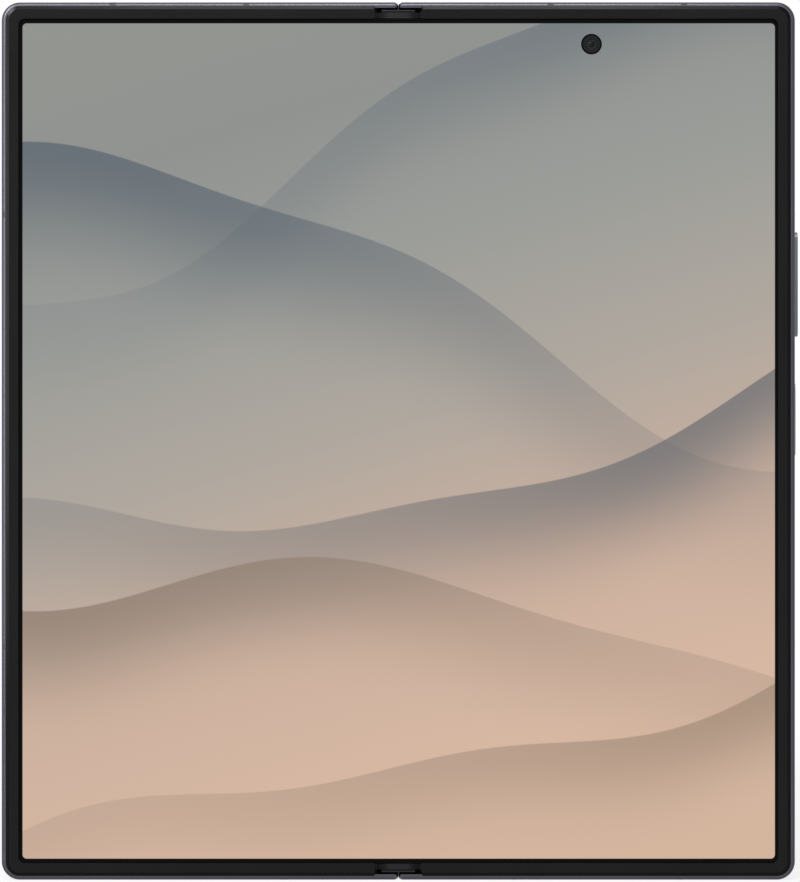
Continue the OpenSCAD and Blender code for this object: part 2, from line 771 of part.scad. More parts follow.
module right_frame() color("#54565c") standing() difference() {
    half_frame();
    side_slot(volume_y, volume_l + 2 * key_gap, key_w + 2 * key_gap);
    side_slot(side_y, side_l + 2 * key_gap, key_w + 2 * key_gap);
    // charging port, through the bottom wall and up into the plate
    translate([port_x, -half_h - open, port_z]) rotate([90, 0, 180])
        linear_extrude(open + port_depth + fit_gap)
            pill(port_outer[0] + 2 * fit_gap, port_outer[1] + 2 * fit_gap);
    sound_slots(bottom_slots_x, -1);
    mic_hole(bottom_mic_x, -1);
    mic_hole(top_mic_x, 1);
    translate([selfie_x, selfie_y, 0]) cylinder(r = selfie_r + fit_gap, h = frame_t);
}

module right_antenna_bands() color("#3f4045") standing() half_bands();

module right_bezel() color("#232324") standing() half_bezel();

module right_support_plate() color("#8b8d90") standing() difference() {
    half_support_plate();
    translate([selfie_x, selfie_y, 0]) cylinder(r = selfie_r + fit_gap, h = frame_t);
}

module right_display_panel() color("#b7aa9c") standing() difference() {
    half_display_panel();
    translate([selfie_x, selfie_y, 0]) cylinder(r = selfie_r, h = frame_t);
}

module right_back_glass() color("#4a4d55") standing() difference() {
    half_glass();
    translate([island_x, island_y, -open]) linear_extrude(2 * open)
        rotate(90) pill(island_l + 2 * fit_gap, island_w + 2 * fit_gap);
    translate([flash_x, lens_places[0], -open]) cylinder(r = flash_r + fit_gap, h = 2 * open);
}

// Half of the island's section, with its outer edge rounded
module island_section() {
    w = island_w / 2;
    translate([0, -island_rise]) square([w - island_round, island_rise + glass_t]);
    translate([w - island_round, island_round - island_rise])
        square([island_round, island_rise - island_round + glass_t]);
    translate([w - island_round, island_round - island_rise]) intersection() {
        circle(island_round);
        translate([0, -island_round]) square(island_round);
    }
}

// Long raised island with a stepped bore for each camera
module camera_island() color("#3c3e43") standing() difference() {
    straight = (island_l - island_w) / 2;
    translate([island_x, island_y, 0]) {
        for (s = [0, 1]) mirror([s, 0, 0]) along_y(-straight, straight) island_section();
        translate([0, straight, 0]) rotate_extrude(angle = 180) island_section();
        translate([0, -straight, 0]) rotate([0, 0, 180]) rotate_extrude(angle = 180) island_section();
    }
    for (y = lens_places) translate([island_x, y, 0]) {
        translate([0, 0, -island_rise - open]) cylinder(r = ring_r + fit_gap, h = open + ring_seat);
        translate([0, 0, -island_rise]) cylinder(r = barrel_r + fit_gap, h = island_rise + glass_t + open);
    }
}

module camera_rings() color("#6a6c72") standing() {
    for (y = lens_places) translate([island_x, y, -island_rise - ring_rise]) difference() {
        cylinder(r = ring_r, h = ring_rise + ring_seat);
        translate([0, 0, -open]) cylinder(r = ring_r - ring_wall, h = ring_rise + ring_seat + 2 * open);
    }
}

module camera_lenses() color("#15161a") standing() {
    for (y = lens_places) translate([island_x, y, -island_rise - ring_rise + lens_drop]) {
        cylinder(r = ring_r - ring_wall - press_gap, h = lens_t);
    }
}

module camera_modules() color("#26282c") standing() {
    barrel_z = -island_rise - ring_rise + lens_drop + lens_t + fit_gap;
    for (y = lens_places) translate([island_x, y, 0]) {
        translate([0, 0, barrel_z]) cylinder(r = barrel_r, h = glass_t + 2 * fit_gap - barrel_z);
        translate([-module_w / 2, -module_w / 2, glass_t + fit_gap])
            cube([module_w, module_w, ceiling_z - glass_t - fit_gap]);
    }
}

module flash_led() color("#e8dfc4") standing() {
    translate([flash_x, lens_places[0], 0]) cylinder(r = flash_r, h = board_z - fit_gap);
}

module inner_camera() color("#1b1c1f") standing() translate([selfie_x, selfie_y, 0]) difference() {
    union() {
        translate([-selfie_module / 2, -selfie_module / 2, glass_t + selfie_lift])
            cube([selfie_module, selfie_module, ceiling_z - glass_t - selfie_lift]);
        translate([0, 0, ceiling_z - eps])
            cylinder(r = selfie_r - fit_gap, h = panel_top - ceiling_z - fit_gap);
    }
    translate([0, 0, panel_top - selfie_seat_t]) cylinder(r = selfie_seat_r, h = open);
}

module inner_camera_lens() color("#2c3440") standing() {
    translate([selfie_x, selfie_y, panel_top - selfie_seat_t + eps])
        cylinder(r = selfie_seat_r - press_gap, h = selfie_lens_t);
}

module main_board() color("#2f5a46") standing() {
    w = island_x - module_w / 2 - board_gap - board_x;
    h = selfie_y - selfie_module / 2 - board_gap - main_board_y;
    translate([board_x, main_board_y, board_z]) linear_extrude(board_t) difference() {
        square([w, h]);
        circle(main_board_notch_r);
    }
}

module shield_cans() color("#9a9ca0") standing() {
    for (c = front_cans) translate([c[0], c[1], ceiling_z - can_t]) cube([c[2], c[3], can_t]);
    translate([back_can[0], back_can[1], right_floor_z])
        cube([back_can[2], back_can[3], board_z - right_floor_z]);
}

// Battery pouch of one half between two ends, from height z up to the plate
module battery(ends, z) {
    w = inner_x - battery_side - battery_x;
    translate([battery_x + w / 2, (ends[0] + ends[1]) / 2, z]) linear_extrude(ceiling_z - z)
        soft_rect(w, ends[1] - ends[0], battery_corner_r);
}

module right_battery() color("#2b2c30") standing() battery(right_battery_ends, right_floor_z);

module wireless_coil() color("#a8643c") standing() {
    translate([coil_place[0], coil_place[1], glass_t + fit_gap]) difference() {
        cylinder(r = coil_r[1], h = coil_t);
        translate([0, 0, -open]) cylinder(r = coil_r[0], h = coil_t + 2 * open);
    }
}

module sub_board() color("#2f5a46") standing() {
    w = bottom_slots_x - speaker_lead - board_gap / 2 - sub_board_x;
    translate([0, 0, board_z]) linear_extrude(board_t) difference() {
        translate([sub_board_x, board_gap - inner_y]) square([w, sub_board_h]);
        translate([port_x, -half_h])
            square([port_outer[0] + board_gap, 2 * port_depth + board_gap], center = true);
    }
}

// Shell of the charging port round its tongue, closed at the inner end
module usb_receptacle() color("#b9bbbe") standing() {
    shell_l = port_depth - port_inset;
    translate([port_x, port_inset - half_h, port_z]) rotate([90, 0, 180]) {
        difference() {
            linear_extrude(shell_l) pill(port_outer[0], port_outer[1]);
            translate([0, 0, -open]) linear_extrude(open + shell_l - port_back_t)
                pill(port_inner[0], port_inner[1]);
        }
        translate([0, 0, shell_l - port_back_t - tongue_l]) linear_extrude(tongue_l + eps)
            square(tongue, center = true);
    }
}

module bottom_speaker() color("#303136") standing() {
    w = top_speaker_size[0] + speaker_lead;
    translate([bottom_slots_x - speaker_lead, speaker_back - inner_y, right_floor_z])
        cube([w, bottom_speaker_h, ceiling_z - right_floor_z]);
}

module vibration_motor() color("#8f9196") standing() {
    translate([motor_place[0], motor_place[1], right_floor_z]) linear_extrude(ceiling_z - right_floor_z)
        soft_rect(motor_size[0], motor_size[1], pocket_r);
}

// Strip inside a key, reaching as far to each side of height y, with a dome at each place
module switch_strip(dome_x, y, reach, domes) {
    strip_x = dome_x - dome_t;
    block([strip_x - switch_t, y - reach, right_floor_z], [strip_x, y + reach, ceiling_z]);
    for (dy = domes) translate([strip_x - eps, y + dy, mid_z - dome_drop])
        rotate([0, 90, 0]) cylinder(r = dome_r, h = dome_t + eps);
}

// Strip with a dome switch under each end of the volume key
module volume_switches() color("#b48a4a") standing() {
    dome_x = volume_flange_x - volume_travel - touch_gap;
    switch_strip(dome_x, volume_y, dome_offset + 2 * dome_r, [-dome_offset, dome_offset]);
}

// Fingerprint sensor strip with the dome switch of the side key
module side_switch() color("#b48a4a") standing() {
    switch_strip(side_flange_x - side_travel - touch_gap, side_y, side_l / 3, [0]);
}

module right_hinge_arms() color("#9fa1a4") standing() half_arms(0);

module right_arm_screws() color("#c4c6c8") standing() half_arm_screws();

module right_magnets() color("#77797d") standing() half_magnets();

// ---------- left half ----------

module left_frame() color("#54565c") standing() mirrored() difference() {
    half_frame();
    side_slot(-tray_y, door_l + 2 * fit_gap, door_w + 2 * fit_gap);
    sound_slots(top_slots_x, 1);
    mic_hole(bottom_mic_x, -1);
}

module left_antenna_bands() color("#3f4045") standing() mirrored() half_bands();

module left_bezel() color("#232324") standing() mirrored() half_bezel();

module left_support_plate() color("#8b8d90") standing() mirrored() half_support_plate();

module left_display_panel() color("#b7aa9c") standing() mirrored() half_display_panel();

module cover_glass() color("#101114") standing() mirrored() half_glass();

module cover_panel() color("#1d1e22") standing() mirrored() {
    translate([0, 0, glass_t]) linear_extrude(cover_panel_t) difference() {
        half_plan(cradle_w + cover_inset, inner_x - cover_inset, inner_y - cover_inset,
            pocket_r, inner_r - cover_inset);
        translate([half_w / 2, selfie_y]) circle(cover_camera_r + 2 * fit_gap);
    }
}

module cover_camera() color("#1b1c1f") standing() mirrored() translate([half_w / 2, selfie_y, 0]) {
    translate([0, 0, glass_t]) cylinder(r = cover_camera_r, h = cover_panel_t + 2 * cover_gap);
    translate([-selfie_module / 2, -selfie_module / 2, left_floor_z])
        cube([selfie_module, selfie_module, ceiling_z - left_floor_z]);
}

module left_battery() color("#2b2c30") standing() mirrored() battery(left_battery_ends, left_floor_z);

module left_board() color("#2f5a46") standing() mirrored() {
    y = board_gap - inner_y;
    translate([board_x, y, board_z]) cube([left_board_size[0], left_board_size[1], board_t]);
    translate([board_x + left_can_inset[0], y + left_can_inset[1], board_z + board_t - eps])
        cube([left_can[0], left_can[1], can_t]);
}

module top_speaker() color("#303136") standing() mirrored() {
    translate([top_slots_x - speaker_lead, inner_y - speaker_back - top_speaker_size[1], left_floor_z])
        cube([top_speaker_size[0], top_speaker_size[1], ceiling_z - left_floor_z]);
}

// Cage that guides the SIM tray, fixed under the plate and open towards the slot
module sim_reader() color("#a5a7aa") standing() mirrored() {
    y = -tray_y + tray_offset;
    w = tray_w / 2 + reader_gap;
    x0 = inner_x - tray_l - reader_gap - reader_wall;
    difference() {
        block([x0, y - w - reader_wall, left_floor_z],
            [inner_x - 2 * reader_gap, y + w + reader_wall, ceiling_z]);
        block([x0 + reader_wall, y - w, mid_z - tray_t / 2 - reader_gap],
            [inner_x + open, y + w, mid_z + tray_t / 2 + reader_gap]);
    }
}

module left_hinge_arms() color("#9fa1a4") standing() mirrored() half_arms(180 / sector_teeth);

module left_arm_screws() color("#c4c6c8") standing() mirrored() half_arm_screws();

module left_magnets() color("#77797d") standing() mirrored() half_magnets();

// ---------- hinge between the halves ----------

module spine_cover() color("#4d4f55") standing() along_y(-cap_y + cap_foot, cap_y - cap_foot) difference() {
    spine_section(spine_r, rim_z);
    spine_section(spine_inner_r, frame_t);
}

module upper_hinge_cap() color("#2a2b2d") standing() hinge_cap();

module lower_hinge_cap() color("#2a2b2d") standing() mirror([0, 1, 0]) hinge_cap();

module upper_hinge_bracket() color("#85878b") standing() hinge_bracket(hinge_y);

module lower_hinge_bracket() color("#85878b") standing() hinge_bracket(-hinge_y);

module hinge_pins() color("#d0d2d4") standing() {
    for (y = hinge_places, s = [-1, 1]) {
        along_y(y + ear1_y, y + ear3_y + ear_w) translate([s * axis_x, axis_z]) circle(pin_r);
    }
}

// The part of the display that bends, drawn open
module display_fold() color("#b7aa9c") standing() {
    block([-fold_reach, -fold_y, panel_z], [fold_reach, fold_y, panel_top]);
}

module right_drive_gears() color("#b8a76a") standing() drive_gears(right_drive_turn);

module left_drive_gears() color("#b8a76a") standing() mirrored()
    drive_gears(right_drive_turn + pinion_step / 2);

module right_idler_gears() color("#c9ba80") standing() idler_gears(right_idler_turn);

module left_idler_gears() color("#c9ba80") standing() mirrored()
    idler_gears(right_idler_turn + pinion_step / 2);

// ---------- pieces that are pressed or pulled ----------

// Key: a bar through the frame's wall with a wider flange inside
module side_bar(y, l, proud, flange_x) {
    along_x(flange_x + eps, half_w + proud - key_round) translate([y, mid_z]) pill(l, key_w);
    along_x(half_w + proud - key_round - eps, half_w + proud)
        translate([y, mid_z]) pill(l - 2 * key_round, key_w - 2 * key_round);
    along_x(flange_x, flange_x + flange_t)
        translate([y, mid_z]) soft_rect(l + 2 * flange_lip, key_w, flange_round);
}

module volume_key() color("#5d5f66") standing() side_bar(volume_y, volume_l, volume_proud, volume_flange_x);

module side_key() color("#494b51") standing() side_bar(side_y, side_l, side_proud, side_flange_x);

// Door flush with the frame, with the eject hole, and the tray with its seat for one card
module sim_tray() color("#54565c") standing() mirrored() {
    y = -tray_y + tray_offset;
    card_x0 = inner_x - tray_l + card_inset;
    card_x1 = card_x0 + card[0];
    difference() {
        union() {
            along_x(half_w - door_t, half_w) translate([-tray_y, mid_z]) pill(door_l, door_w);
            block([inner_x - tray_l, y - tray_w / 2, mid_z - tray_t / 2],
                [half_w - door_t + eps, y + tray_w / 2, mid_z + tray_t / 2]);
        }
        translate([0, eject_offset - tray_y, mid_z]) rotate([0, 90, 0]) cylinder(r = eject_r, h = body_w);
        block([card_x0, y - card[1] / 2, mid_z + tray_t / 2 - card[2]],
            [card_x1, y + card[1] / 2, frame_t]);
        block([card_x0 + card_ledge, y - card[1] / 2 + card_ledge, 0],
            [card_x1 - card_ledge, y + card[1] / 2 - card_ledge, frame_t]);
    }
}

right_frame();
right_antenna_bands();
right_bezel();
right_support_plate();
right_display_panel();
right_back_glass();
camera_island();
camera_rings();
camera_lenses();
camera_modules();
flash_led();
inner_camera();
inner_camera_lens();
main_board();
shield_cans();
right_battery();
wireless_coil();
sub_board();
usb_receptacle();
bottom_speaker();
vibration_motor();
volume_switches();
side_switch();
right_hinge_arms();
right_arm_screws();
right_magnets();
left_frame();
left_antenna_bands();
left_bezel();
left_support_plate();
left_display_panel();
cover_glass();
cover_panel();
cover_camera();
left_battery();
left_board();
top_speaker();
sim_reader();
left_hinge_arms();
left_arm_screws();
left_magnets();
spine_cover();
upper_hinge_cap();
lower_hinge_cap();
upper_hinge_bracket();
lower_hinge_bracket();
hinge_pins();
display_fold();
right_drive_gears();
left_drive_gears();
right_idler_gears();
left_idler_gears();
volume_key();
side_key();
sim_tray();
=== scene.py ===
import math

import bmesh
import bpy
import numpy as np
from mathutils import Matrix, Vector
from mathutils.geometry import tessellate_polygon


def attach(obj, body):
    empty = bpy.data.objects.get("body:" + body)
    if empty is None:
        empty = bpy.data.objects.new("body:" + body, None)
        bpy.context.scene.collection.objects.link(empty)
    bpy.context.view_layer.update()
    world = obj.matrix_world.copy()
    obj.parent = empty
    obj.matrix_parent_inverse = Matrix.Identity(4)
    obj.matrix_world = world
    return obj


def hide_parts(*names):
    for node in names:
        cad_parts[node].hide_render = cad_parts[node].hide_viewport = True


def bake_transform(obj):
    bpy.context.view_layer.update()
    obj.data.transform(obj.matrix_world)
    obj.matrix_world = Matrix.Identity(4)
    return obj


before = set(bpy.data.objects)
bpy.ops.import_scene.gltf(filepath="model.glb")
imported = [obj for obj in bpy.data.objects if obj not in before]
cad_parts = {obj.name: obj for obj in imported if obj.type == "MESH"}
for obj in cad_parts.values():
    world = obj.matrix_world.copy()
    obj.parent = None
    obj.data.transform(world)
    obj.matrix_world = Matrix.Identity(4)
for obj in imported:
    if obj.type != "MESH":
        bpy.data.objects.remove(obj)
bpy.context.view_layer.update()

# A book-style folding phone, open and standing on its bottom edge. Pieces are drawn lying down, in
# millimetres: x across the open phone, y up it from its middle, and z out of the inner display,
# with z = 0 on the back of the frames. stand() turns them up into the row's frame, in metres.
MM = 0.001

# Frames: thickness, half the phone's height, and at the hinge the hollow that cradles the spine:
# where its end wall starts and how deep the wall under the seam's front edge is.
FRAME_T = 4.2
HALF_H = 79.2
CRADLE_Y = 78.15
SEAM_WALL = 0.6

# Inner display: its faces, half sizes and corner radius, the notch for the hinge caps, the strip
# that bends, the lit area, and the half sizes of the area that its UV map covers.
PANEL_TOP = 4.05
PANEL_BACK = 3.80
PANEL_X = 69.95
PANEL_Y = 77.55
PANEL_R = 1.65
FOLD_Y = 76.19
OPENING_X = 4.3
BEND_START = 0.3
BEND_END = 2.3
LIT_X = 67.87
LIT_Y = 75.35
LIT_MIDDLE = 0.07
LIT_R = 0.75
MAP_X = 72.0
MAP_Y = 80.0

# Bezels: half sizes and corner radius of the seat, where they start beside the seam, the inner
# corner radius, the shoulder that laps over the frame, the rounding of their ends, and the span
# of the tongues at their ends.
BEZEL_X = 70.2
BEZEL_Y = 77.86
BEZEL_R = 1.9
BEZEL_START = 4.2
BEZEL_INNER_R = 1.05
BEZEL_TOP = 4.38
SHOULDER = 0.61
BEZEL_EASE = 0.3
TONGUE_X = (3.78, 4.3)
TONGUE_Y = (76.27, 77.34)
TONGUE_Z = (3.62, 3.97)

# Hinge: the fold axes, the spine's radius, and the dome over the caps: its height at the middle,
# its fall towards the sides and the half widths of the caps' body and rim.
FOLD_X = 1.3
FOLD_Z = 3.15
SPINE_R = 2.45
CAP_DOME = 3.74
CAP_FALL = 0.06
CAP_HALF = 3.68
RIM_HALF = 3.02

# Cameras, flash, cover display, port and charging coil. SELFIE, FLASH, COVER_CAMERA and COIL are
# lying (x, y) centres.
SELFIE = (34.86, 71.62)
SELFIE_R = 1.88
ISLAND_X = 58.3
LENS_Y = (64.3, 48.7, 33.1)
LENS_PITCH = LENS_Y[0] - LENS_Y[1]
SENSOR_HALF = 5.2
FLASH = (45.0, LENS_Y[0])
COVER_CAMERA = (-35.8, 71.62)
COVER_MIDDLE = -37.2
COVER_LIT_X = 30.9
COVER_LIT_Y = 75.6
PORT_X = 35.5
PORT_Z = 2.095
COIL = (37.0, -17.0)


# ---------- mesh helpers ----------

def stand(points):
    """Lying (x, y, z) in millimetres to the row's frame: x stays, y goes up from mid-height, z
    comes forward towards -Y from mid-thickness, all in metres."""
    p = np.asarray(points, float).reshape(-1, 3)
    return np.stack([p[:, 0], FRAME_T / 2 - p[:, 2], HALF_H + p[:, 1]], -1) * MM


def mesh_piece(name, shell, finish, body=None, sharp=30, cuts=(), uv=False):
    """Puts lying points and their faces into a mesh at the origin, merges points that fall
    together, turns the closed shell's faces outwards and shades it smooth up to the sharp angle.
    cuts slices it across at each x, so that it can bend there. The UV map is the plan position:
    u = (x + MAP_X) / (2 MAP_X) and v = (y + MAP_Y) / (2 MAP_Y)."""
    points, faces = shell
    mesh = bpy.data.meshes.new(name)
    mesh.from_pydata(stand(points).tolist(), [], [list(map(int, f)) for f in faces])
    bm = bmesh.new()
    bm.from_mesh(mesh)
    bmesh.ops.remove_doubles(bm, verts=bm.verts, dist=1e-7)
    bmesh.ops.dissolve_degenerate(bm, edges=bm.edges, dist=1e-8)
    for x in cuts:
        bmesh.ops.bisect_plane(bm, geom=bm.verts[:] + bm.edges[:] + bm.faces[:],
                               plane_co=(x * MM, 0, 0), plane_no=(1, 0, 0), dist=1e-8)
    bmesh.ops.recalc_face_normals(bm, faces=bm.faces)
    bm.to_mesh(mesh)
    bm.free()
    mesh.shade_smooth()
    mesh.set_sharp_from_angle(angle=math.radians(sharp))
    if uv:
        place = np.zeros(len(mesh.vertices) * 3, np.float32)
        mesh.vertices.foreach_get("co", place)
        corner = np.zeros(len(mesh.loops), np.int32)
        mesh.loops.foreach_get("vertex_index", corner)
        place = place.reshape(-1, 3)[corner] / MM
        plan = np.stack([(place[:, 0] + MAP_X) / (2 * MAP_X),
                         (place[:, 2] - HALF_H + MAP_Y) / (2 * MAP_Y)], -1)
        mesh.uv_layers.new(name="UVMap").data.foreach_set("uv", plan.astype(np.float32).ravel())
    obj = bpy.data.objects.new(name, mesh)
    bpy.context.scene.collection.objects.link(obj)
    mesh.materials.append(finish)
    if body:
        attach(obj, body)
    return obj


def grid_faces(rows, columns, wrap_rows=False, wrap_columns=False):
    """Quads over a grid of points stored row by row; a wrapped side joins its last line to its
    first."""
    i = np.arange(rows if wrap_rows else rows - 1)
    j = np.arange(columns if wrap_columns else columns - 1)
    i, j = (a.ravel() for a in np.meshgrid(i, j, indexing="ij"))
    i1, j1 = (i + 1) % rows, (j + 1) % columns
    return np.stack([i * columns + j, i * columns + j1, i1 * columns + j1, i1 * columns + j],
                    -1).tolist()


def revolve(profile, centre, turns=64):
    """A closed profile of (radius, z) pairs carried round a circle about centre: x = cx + r cos a,
    y = cy + r sin a."""
    profile = np.asarray(profile, float)
    angle = np.linspace(0, 2 * math.pi, turns, endpoint=False)[:, None]
    x = centre[0] + profile[:, 0] * np.cos(angle)
    y = centre[1] + profile[:, 0] * np.sin(angle)
    z = np.broadcast_to(profile[:, 1], x.shape)
    return (np.stack([x, y, z], -1).reshape(-1, 3),
            grid_faces(turns, len(profile), wrap_rows=True, wrap_columns=True))


def loft(sections):
    """Closed loops of equal length, one after another, skinned with quads, with a flat face over
    the first and the last."""
    sections = np.asarray(sections, float)
    rows, columns = sections.shape[:2]
    faces = grid_faces(rows, columns, wrap_columns=True)
    faces += [list(range(columns)), [(rows - 1) * columns + k for k in range(columns)]]
    return sections.reshape(-1, 3), faces


def join(shells):
    """Several shells as one."""
    points, faces, start = [], [], 0
    for p, f in shells:
        points.append(np.asarray(p, float).reshape(-1, 3))
        faces += [[v + start for v in face] for face in f]
        start += len(points[-1])
    return np.concatenate(points), faces


def arc(centre, radius, first, last, steps):
    """Points on a circle from one angle to another, in degrees, ends included."""
    a = np.radians(np.linspace(first, last, steps))
    return np.stack([centre[0] + radius * np.cos(a), centre[1] + radius * np.sin(a)], -1)


def plate(outline, holes, z0, z1):
    """A flat plate: the outline less its holes, cut into triangles at z1 and again at z0, with a
    strip of quads round each rim."""
    loops = [np.asarray(loop, float) for loop in [outline, *holes]]
    flat = np.concatenate(loops)
    top = tessellate_polygon([np.c_[loop, np.zeros(len(loop))].tolist() for loop in loops])
    n = len(flat)
    points = np.concatenate([np.c_[flat, np.full(n, z1)], np.c_[flat, np.full(n, z0)]])
    faces = [list(t) for t in top] + [[v + n for v in reversed(t)] for t in top]
    start = 0
    for loop in loops:
        k = np.arange(len(loop))
        after = (k + 1) % len(loop)
        faces += (np.stack([k, after, after + n, k + n], -1) + start).tolist()
        start += len(loop)
    return points, faces


def block(x0, x1, y0, y1, z0, z1, ease):
    """A box with all its plan corners rounded by ease and its top and bottom rims chamfered by a
    third of that."""
    middles = [(x1 - ease, y1 - ease), (x0 + ease, y1 - ease), (x0 + ease, y0 + ease),
               (x1 - ease, y0 + ease)]
    centres = np.repeat(middles, 5, axis=0)
    way = np.concatenate([arc((0, 0), 1, 90 * k, 90 * k + 90, 5) for k in range(4)])
    lip = ease / 3
    rings = [(z0, ease - lip), (z0 + lip, ease), (z1 - lip, ease), (z1, ease - lip)]
    return loft([np.c_[centres + way * r, np.full(len(way), z)] for z, r in rings])


# ---------- material helpers ----------

# Most of a noise pattern's values lie in this span.
NOISE = (0.3, 0.7)


def linear(code):
    """An sRGB colour written as six hex digits, as linear red, green and blue, and alpha 1."""
    part = np.array([int(code[i:i + 2], 16) / 255 for i in (0, 2, 4)])
    part = np.where(part <= 0.04045, part / 12.92, ((part + 0.055) / 1.055) ** 2.4)
    return (*part.tolist(), 1.0)


def add(tree, kind, links=(), out=0, stops=(), **settings):
    """Adds one node, sets its settings and colour stops, gives its inputs their values or links,
    and returns one of its outputs. links goes in socket order, or by name or number."""
    node = tree.nodes.new("ShaderNode" + kind)
    for key, value in settings.items():
        setattr(node, key, value)
    for key, value in (links.items() if isinstance(links, dict) else enumerate(links)):
        if isinstance(value, bpy.types.NodeSocket):
            tree.links.new(value, node.inputs[key])
        else:
            node.inputs[key].default_value = value
    for k, (spot, colour) in enumerate(stops):
        ramp = node.color_ramp.elements
        stop = ramp[k] if k < len(ramp) else ramp.new(spot)
        stop.position, stop.color = spot, colour
    return node.outputs[out]


def material(name, base, roughness, metallic=0.0, **sockets):
    """A principled material with its uniform values on the shader's own sockets. Returns the
    material, its tree and the shader."""
    made = bpy.data.materials.new(name)
    made.use_nodes = True
    tree = made.node_tree
    shader = tree.nodes["Principled BSDF"]
    values = {"Base Color": linear(base), "Roughness": roughness, "Metallic": metallic}
    values.update({key.replace("_", " "): value for key, value in sockets.items()})
    for key, value in values.items():
        shader.inputs[key].default_value = value
    return made, tree, shader


def grained(name, base, worn, roughness, metallic=0.0, grain_mm=0.25, depth_mm=0.003,
            stretch=(1, 1, 1), **sockets):
    """A solid finish with fine grain: the colour moves between base and worn, half with the grain
    and half in patches 22 mm wide, the roughness moves by 0.05 each way with the patches, and the
    grain stands depth_mm high. stretch lengthens the grain along an axis."""
    made, tree, shader = material(name, base, roughness, metallic, **sockets)
    spot = add(tree, "TexCoord", out="Object")
    fine_scale = tuple(1 / (grain_mm * MM * s) for s in stretch)
    placed = add(tree, "Mapping", {"Vector": spot, "Scale": fine_scale})
    fine = add(tree, "TexNoise", {"Vector": placed, "Scale": 1.0, "Detail": 2.0})
    broad = add(tree, "TexNoise", {"Vector": spot, "Scale": 1 / (22 * MM), "Detail": 2.0})
    tone = add(tree, "Math", (fine, broad), operation="ADD")
    share = add(tree, "MapRange", (tone, 0.75, 1.25, 0.0, 1.0))
    colour = add(tree, "Mix", {0: share, 6: linear(base), 7: linear(worn)}, out=2,
                 data_type="RGBA")
    rough = add(tree, "MapRange", (broad, *NOISE, roughness - 0.05, roughness + 0.05))
    relief = add(tree, "Bump", {"Height": fine, "Distance": depth_mm * MM})
    tree.links.new(colour, shader.inputs["Base Color"])
    tree.links.new(rough, shader.inputs["Roughness"])
    tree.links.new(relief, shader.inputs["Normal"])
    return made


def opened(made):
    """A grained material's tree, its shader, and the socket that colours it."""
    tree = made.node_tree
    shader = tree.nodes["Principled BSDF"]
    return tree, shader, shader.inputs["Base Color"].links[0].from_socket


def distance(tree, axis, middle=0.0):
    """How far a point lies, in metres, from the plane at middle millimetres on one axis of the
    row's frame: 0 for across the phone, 2 for up it."""
    spot = add(tree, "TexCoord", out="Object")
    along = add(tree, "SeparateXYZ", (spot,), out=axis)
    along = add(tree, "Math", (along, middle * MM), operation="SUBTRACT")
    return add(tree, "Math", (along,), operation="ABSOLUTE")


def flatness(tree, slope, flat):
    """0 on sides and slopes and 1 on the flat front and back: where the y part of the surface's
    direction lies between slope and flat."""
    facing = add(tree, "SeparateXYZ", (add(tree, "TexCoord", out="Normal"),), out=1)
    facing = add(tree, "Math", (facing,), operation="ABSOLUTE")
    return add(tree, "MapRange", (facing, slope, flat, 0.0, 1.0))


def from_centre(tree, centre):
    """How far a point lies, in metres, from the line through a lying (x, y) centre, seen from the
    front."""
    spot = add(tree, "TexCoord", out="Object")
    centred = add(tree, "Mapping", {"Vector": spot,
                  "Location": (-centre[0] * MM, 0, -(HALF_H + centre[1]) * MM)})
    flat = add(tree, "VectorMath", {0: centred, 1: (1, 0, 1)}, operation="MULTIPLY")
    return add(tree, "VectorMath", (flat,), out="Value", operation="LENGTH")


# ---------- finishes ----------

def frame_finish():
    """Frames: bead-blasted, dark anodised aluminium. The blasting leaves an even satin; its grain
    of about 0.05 mm is drawn at 0.15 mm so that it shows. The rounded edges and the sides are
    diamond-cut after the blasting, so they are bluer and smoother than the flat front and back.
    The corners at the seam's ends are painted lighter: a painted highlight. The hollow that
    cradles the spine is painted near-black: painted shade in the recess."""
    made = grained("anodised_aluminium", "4A4A50", "505056", 0.26, 1.0, grain_mm=0.15,
                   depth_mm=0.0012)
    tree, shader, blasted = opened(made)
    across, up = distance(tree, 0), distance(tree, 2, HALF_H)
    # Near the seam's ends the metal is painted lighter (7A7A80): a painted highlight in the notch
    # between the halves.
    seam = add(tree, "MapRange", (across, 0.35 * MM, 0.65 * MM, 1.0, 0.0))
    ends = add(tree, "Math", (up, 78.4 * MM), operation="GREATER_THAN")
    seam_painted_highlight = add(tree, "Math", (seam, ends), operation="MULTIPLY")
    cut = add(tree, "Mix", {0: seam_painted_highlight, 6: linear("484850"), 7: linear("7A7A80")}, out=2,
              data_type="RGBA")
    flat = flatness(tree, 0.93, 0.995)
    anodised = add(tree, "Mix", {0: flat, 6: cut, 7: blasted}, out=2, data_type="RGBA")
    # The hollow that cradles the spine, beside the seam and behind its front wall, is painted
    # near-black (0C0C0E): painted shade in the recess.
    beside = add(tree, "Math", (across, (BEZEL_START + 0.05) * MM), operation="LESS_THAN")
    within = add(tree, "Math", (up, (CRADLE_Y + 0.01) * MM), operation="LESS_THAN")
    depth = add(tree, "SeparateXYZ", (add(tree, "TexCoord", out="Object"),), out=1)
    behind = add(tree, "Math", (depth, (FRAME_T / 2 - SEAM_WALL - 0.01) * MM),
                 operation="LESS_THAN")
    painted = add(tree, "Math", (beside, within), operation="MULTIPLY")
    painted = add(tree, "Math", (painted, behind), operation="MULTIPLY")
    colour = add(tree, "Mix", {0: painted, 6: anodised, 7: linear("0C0C0E")}, out=2,
                 data_type="RGBA")
    tree.links.new(colour, shader.inputs["Base Color"])
    return made


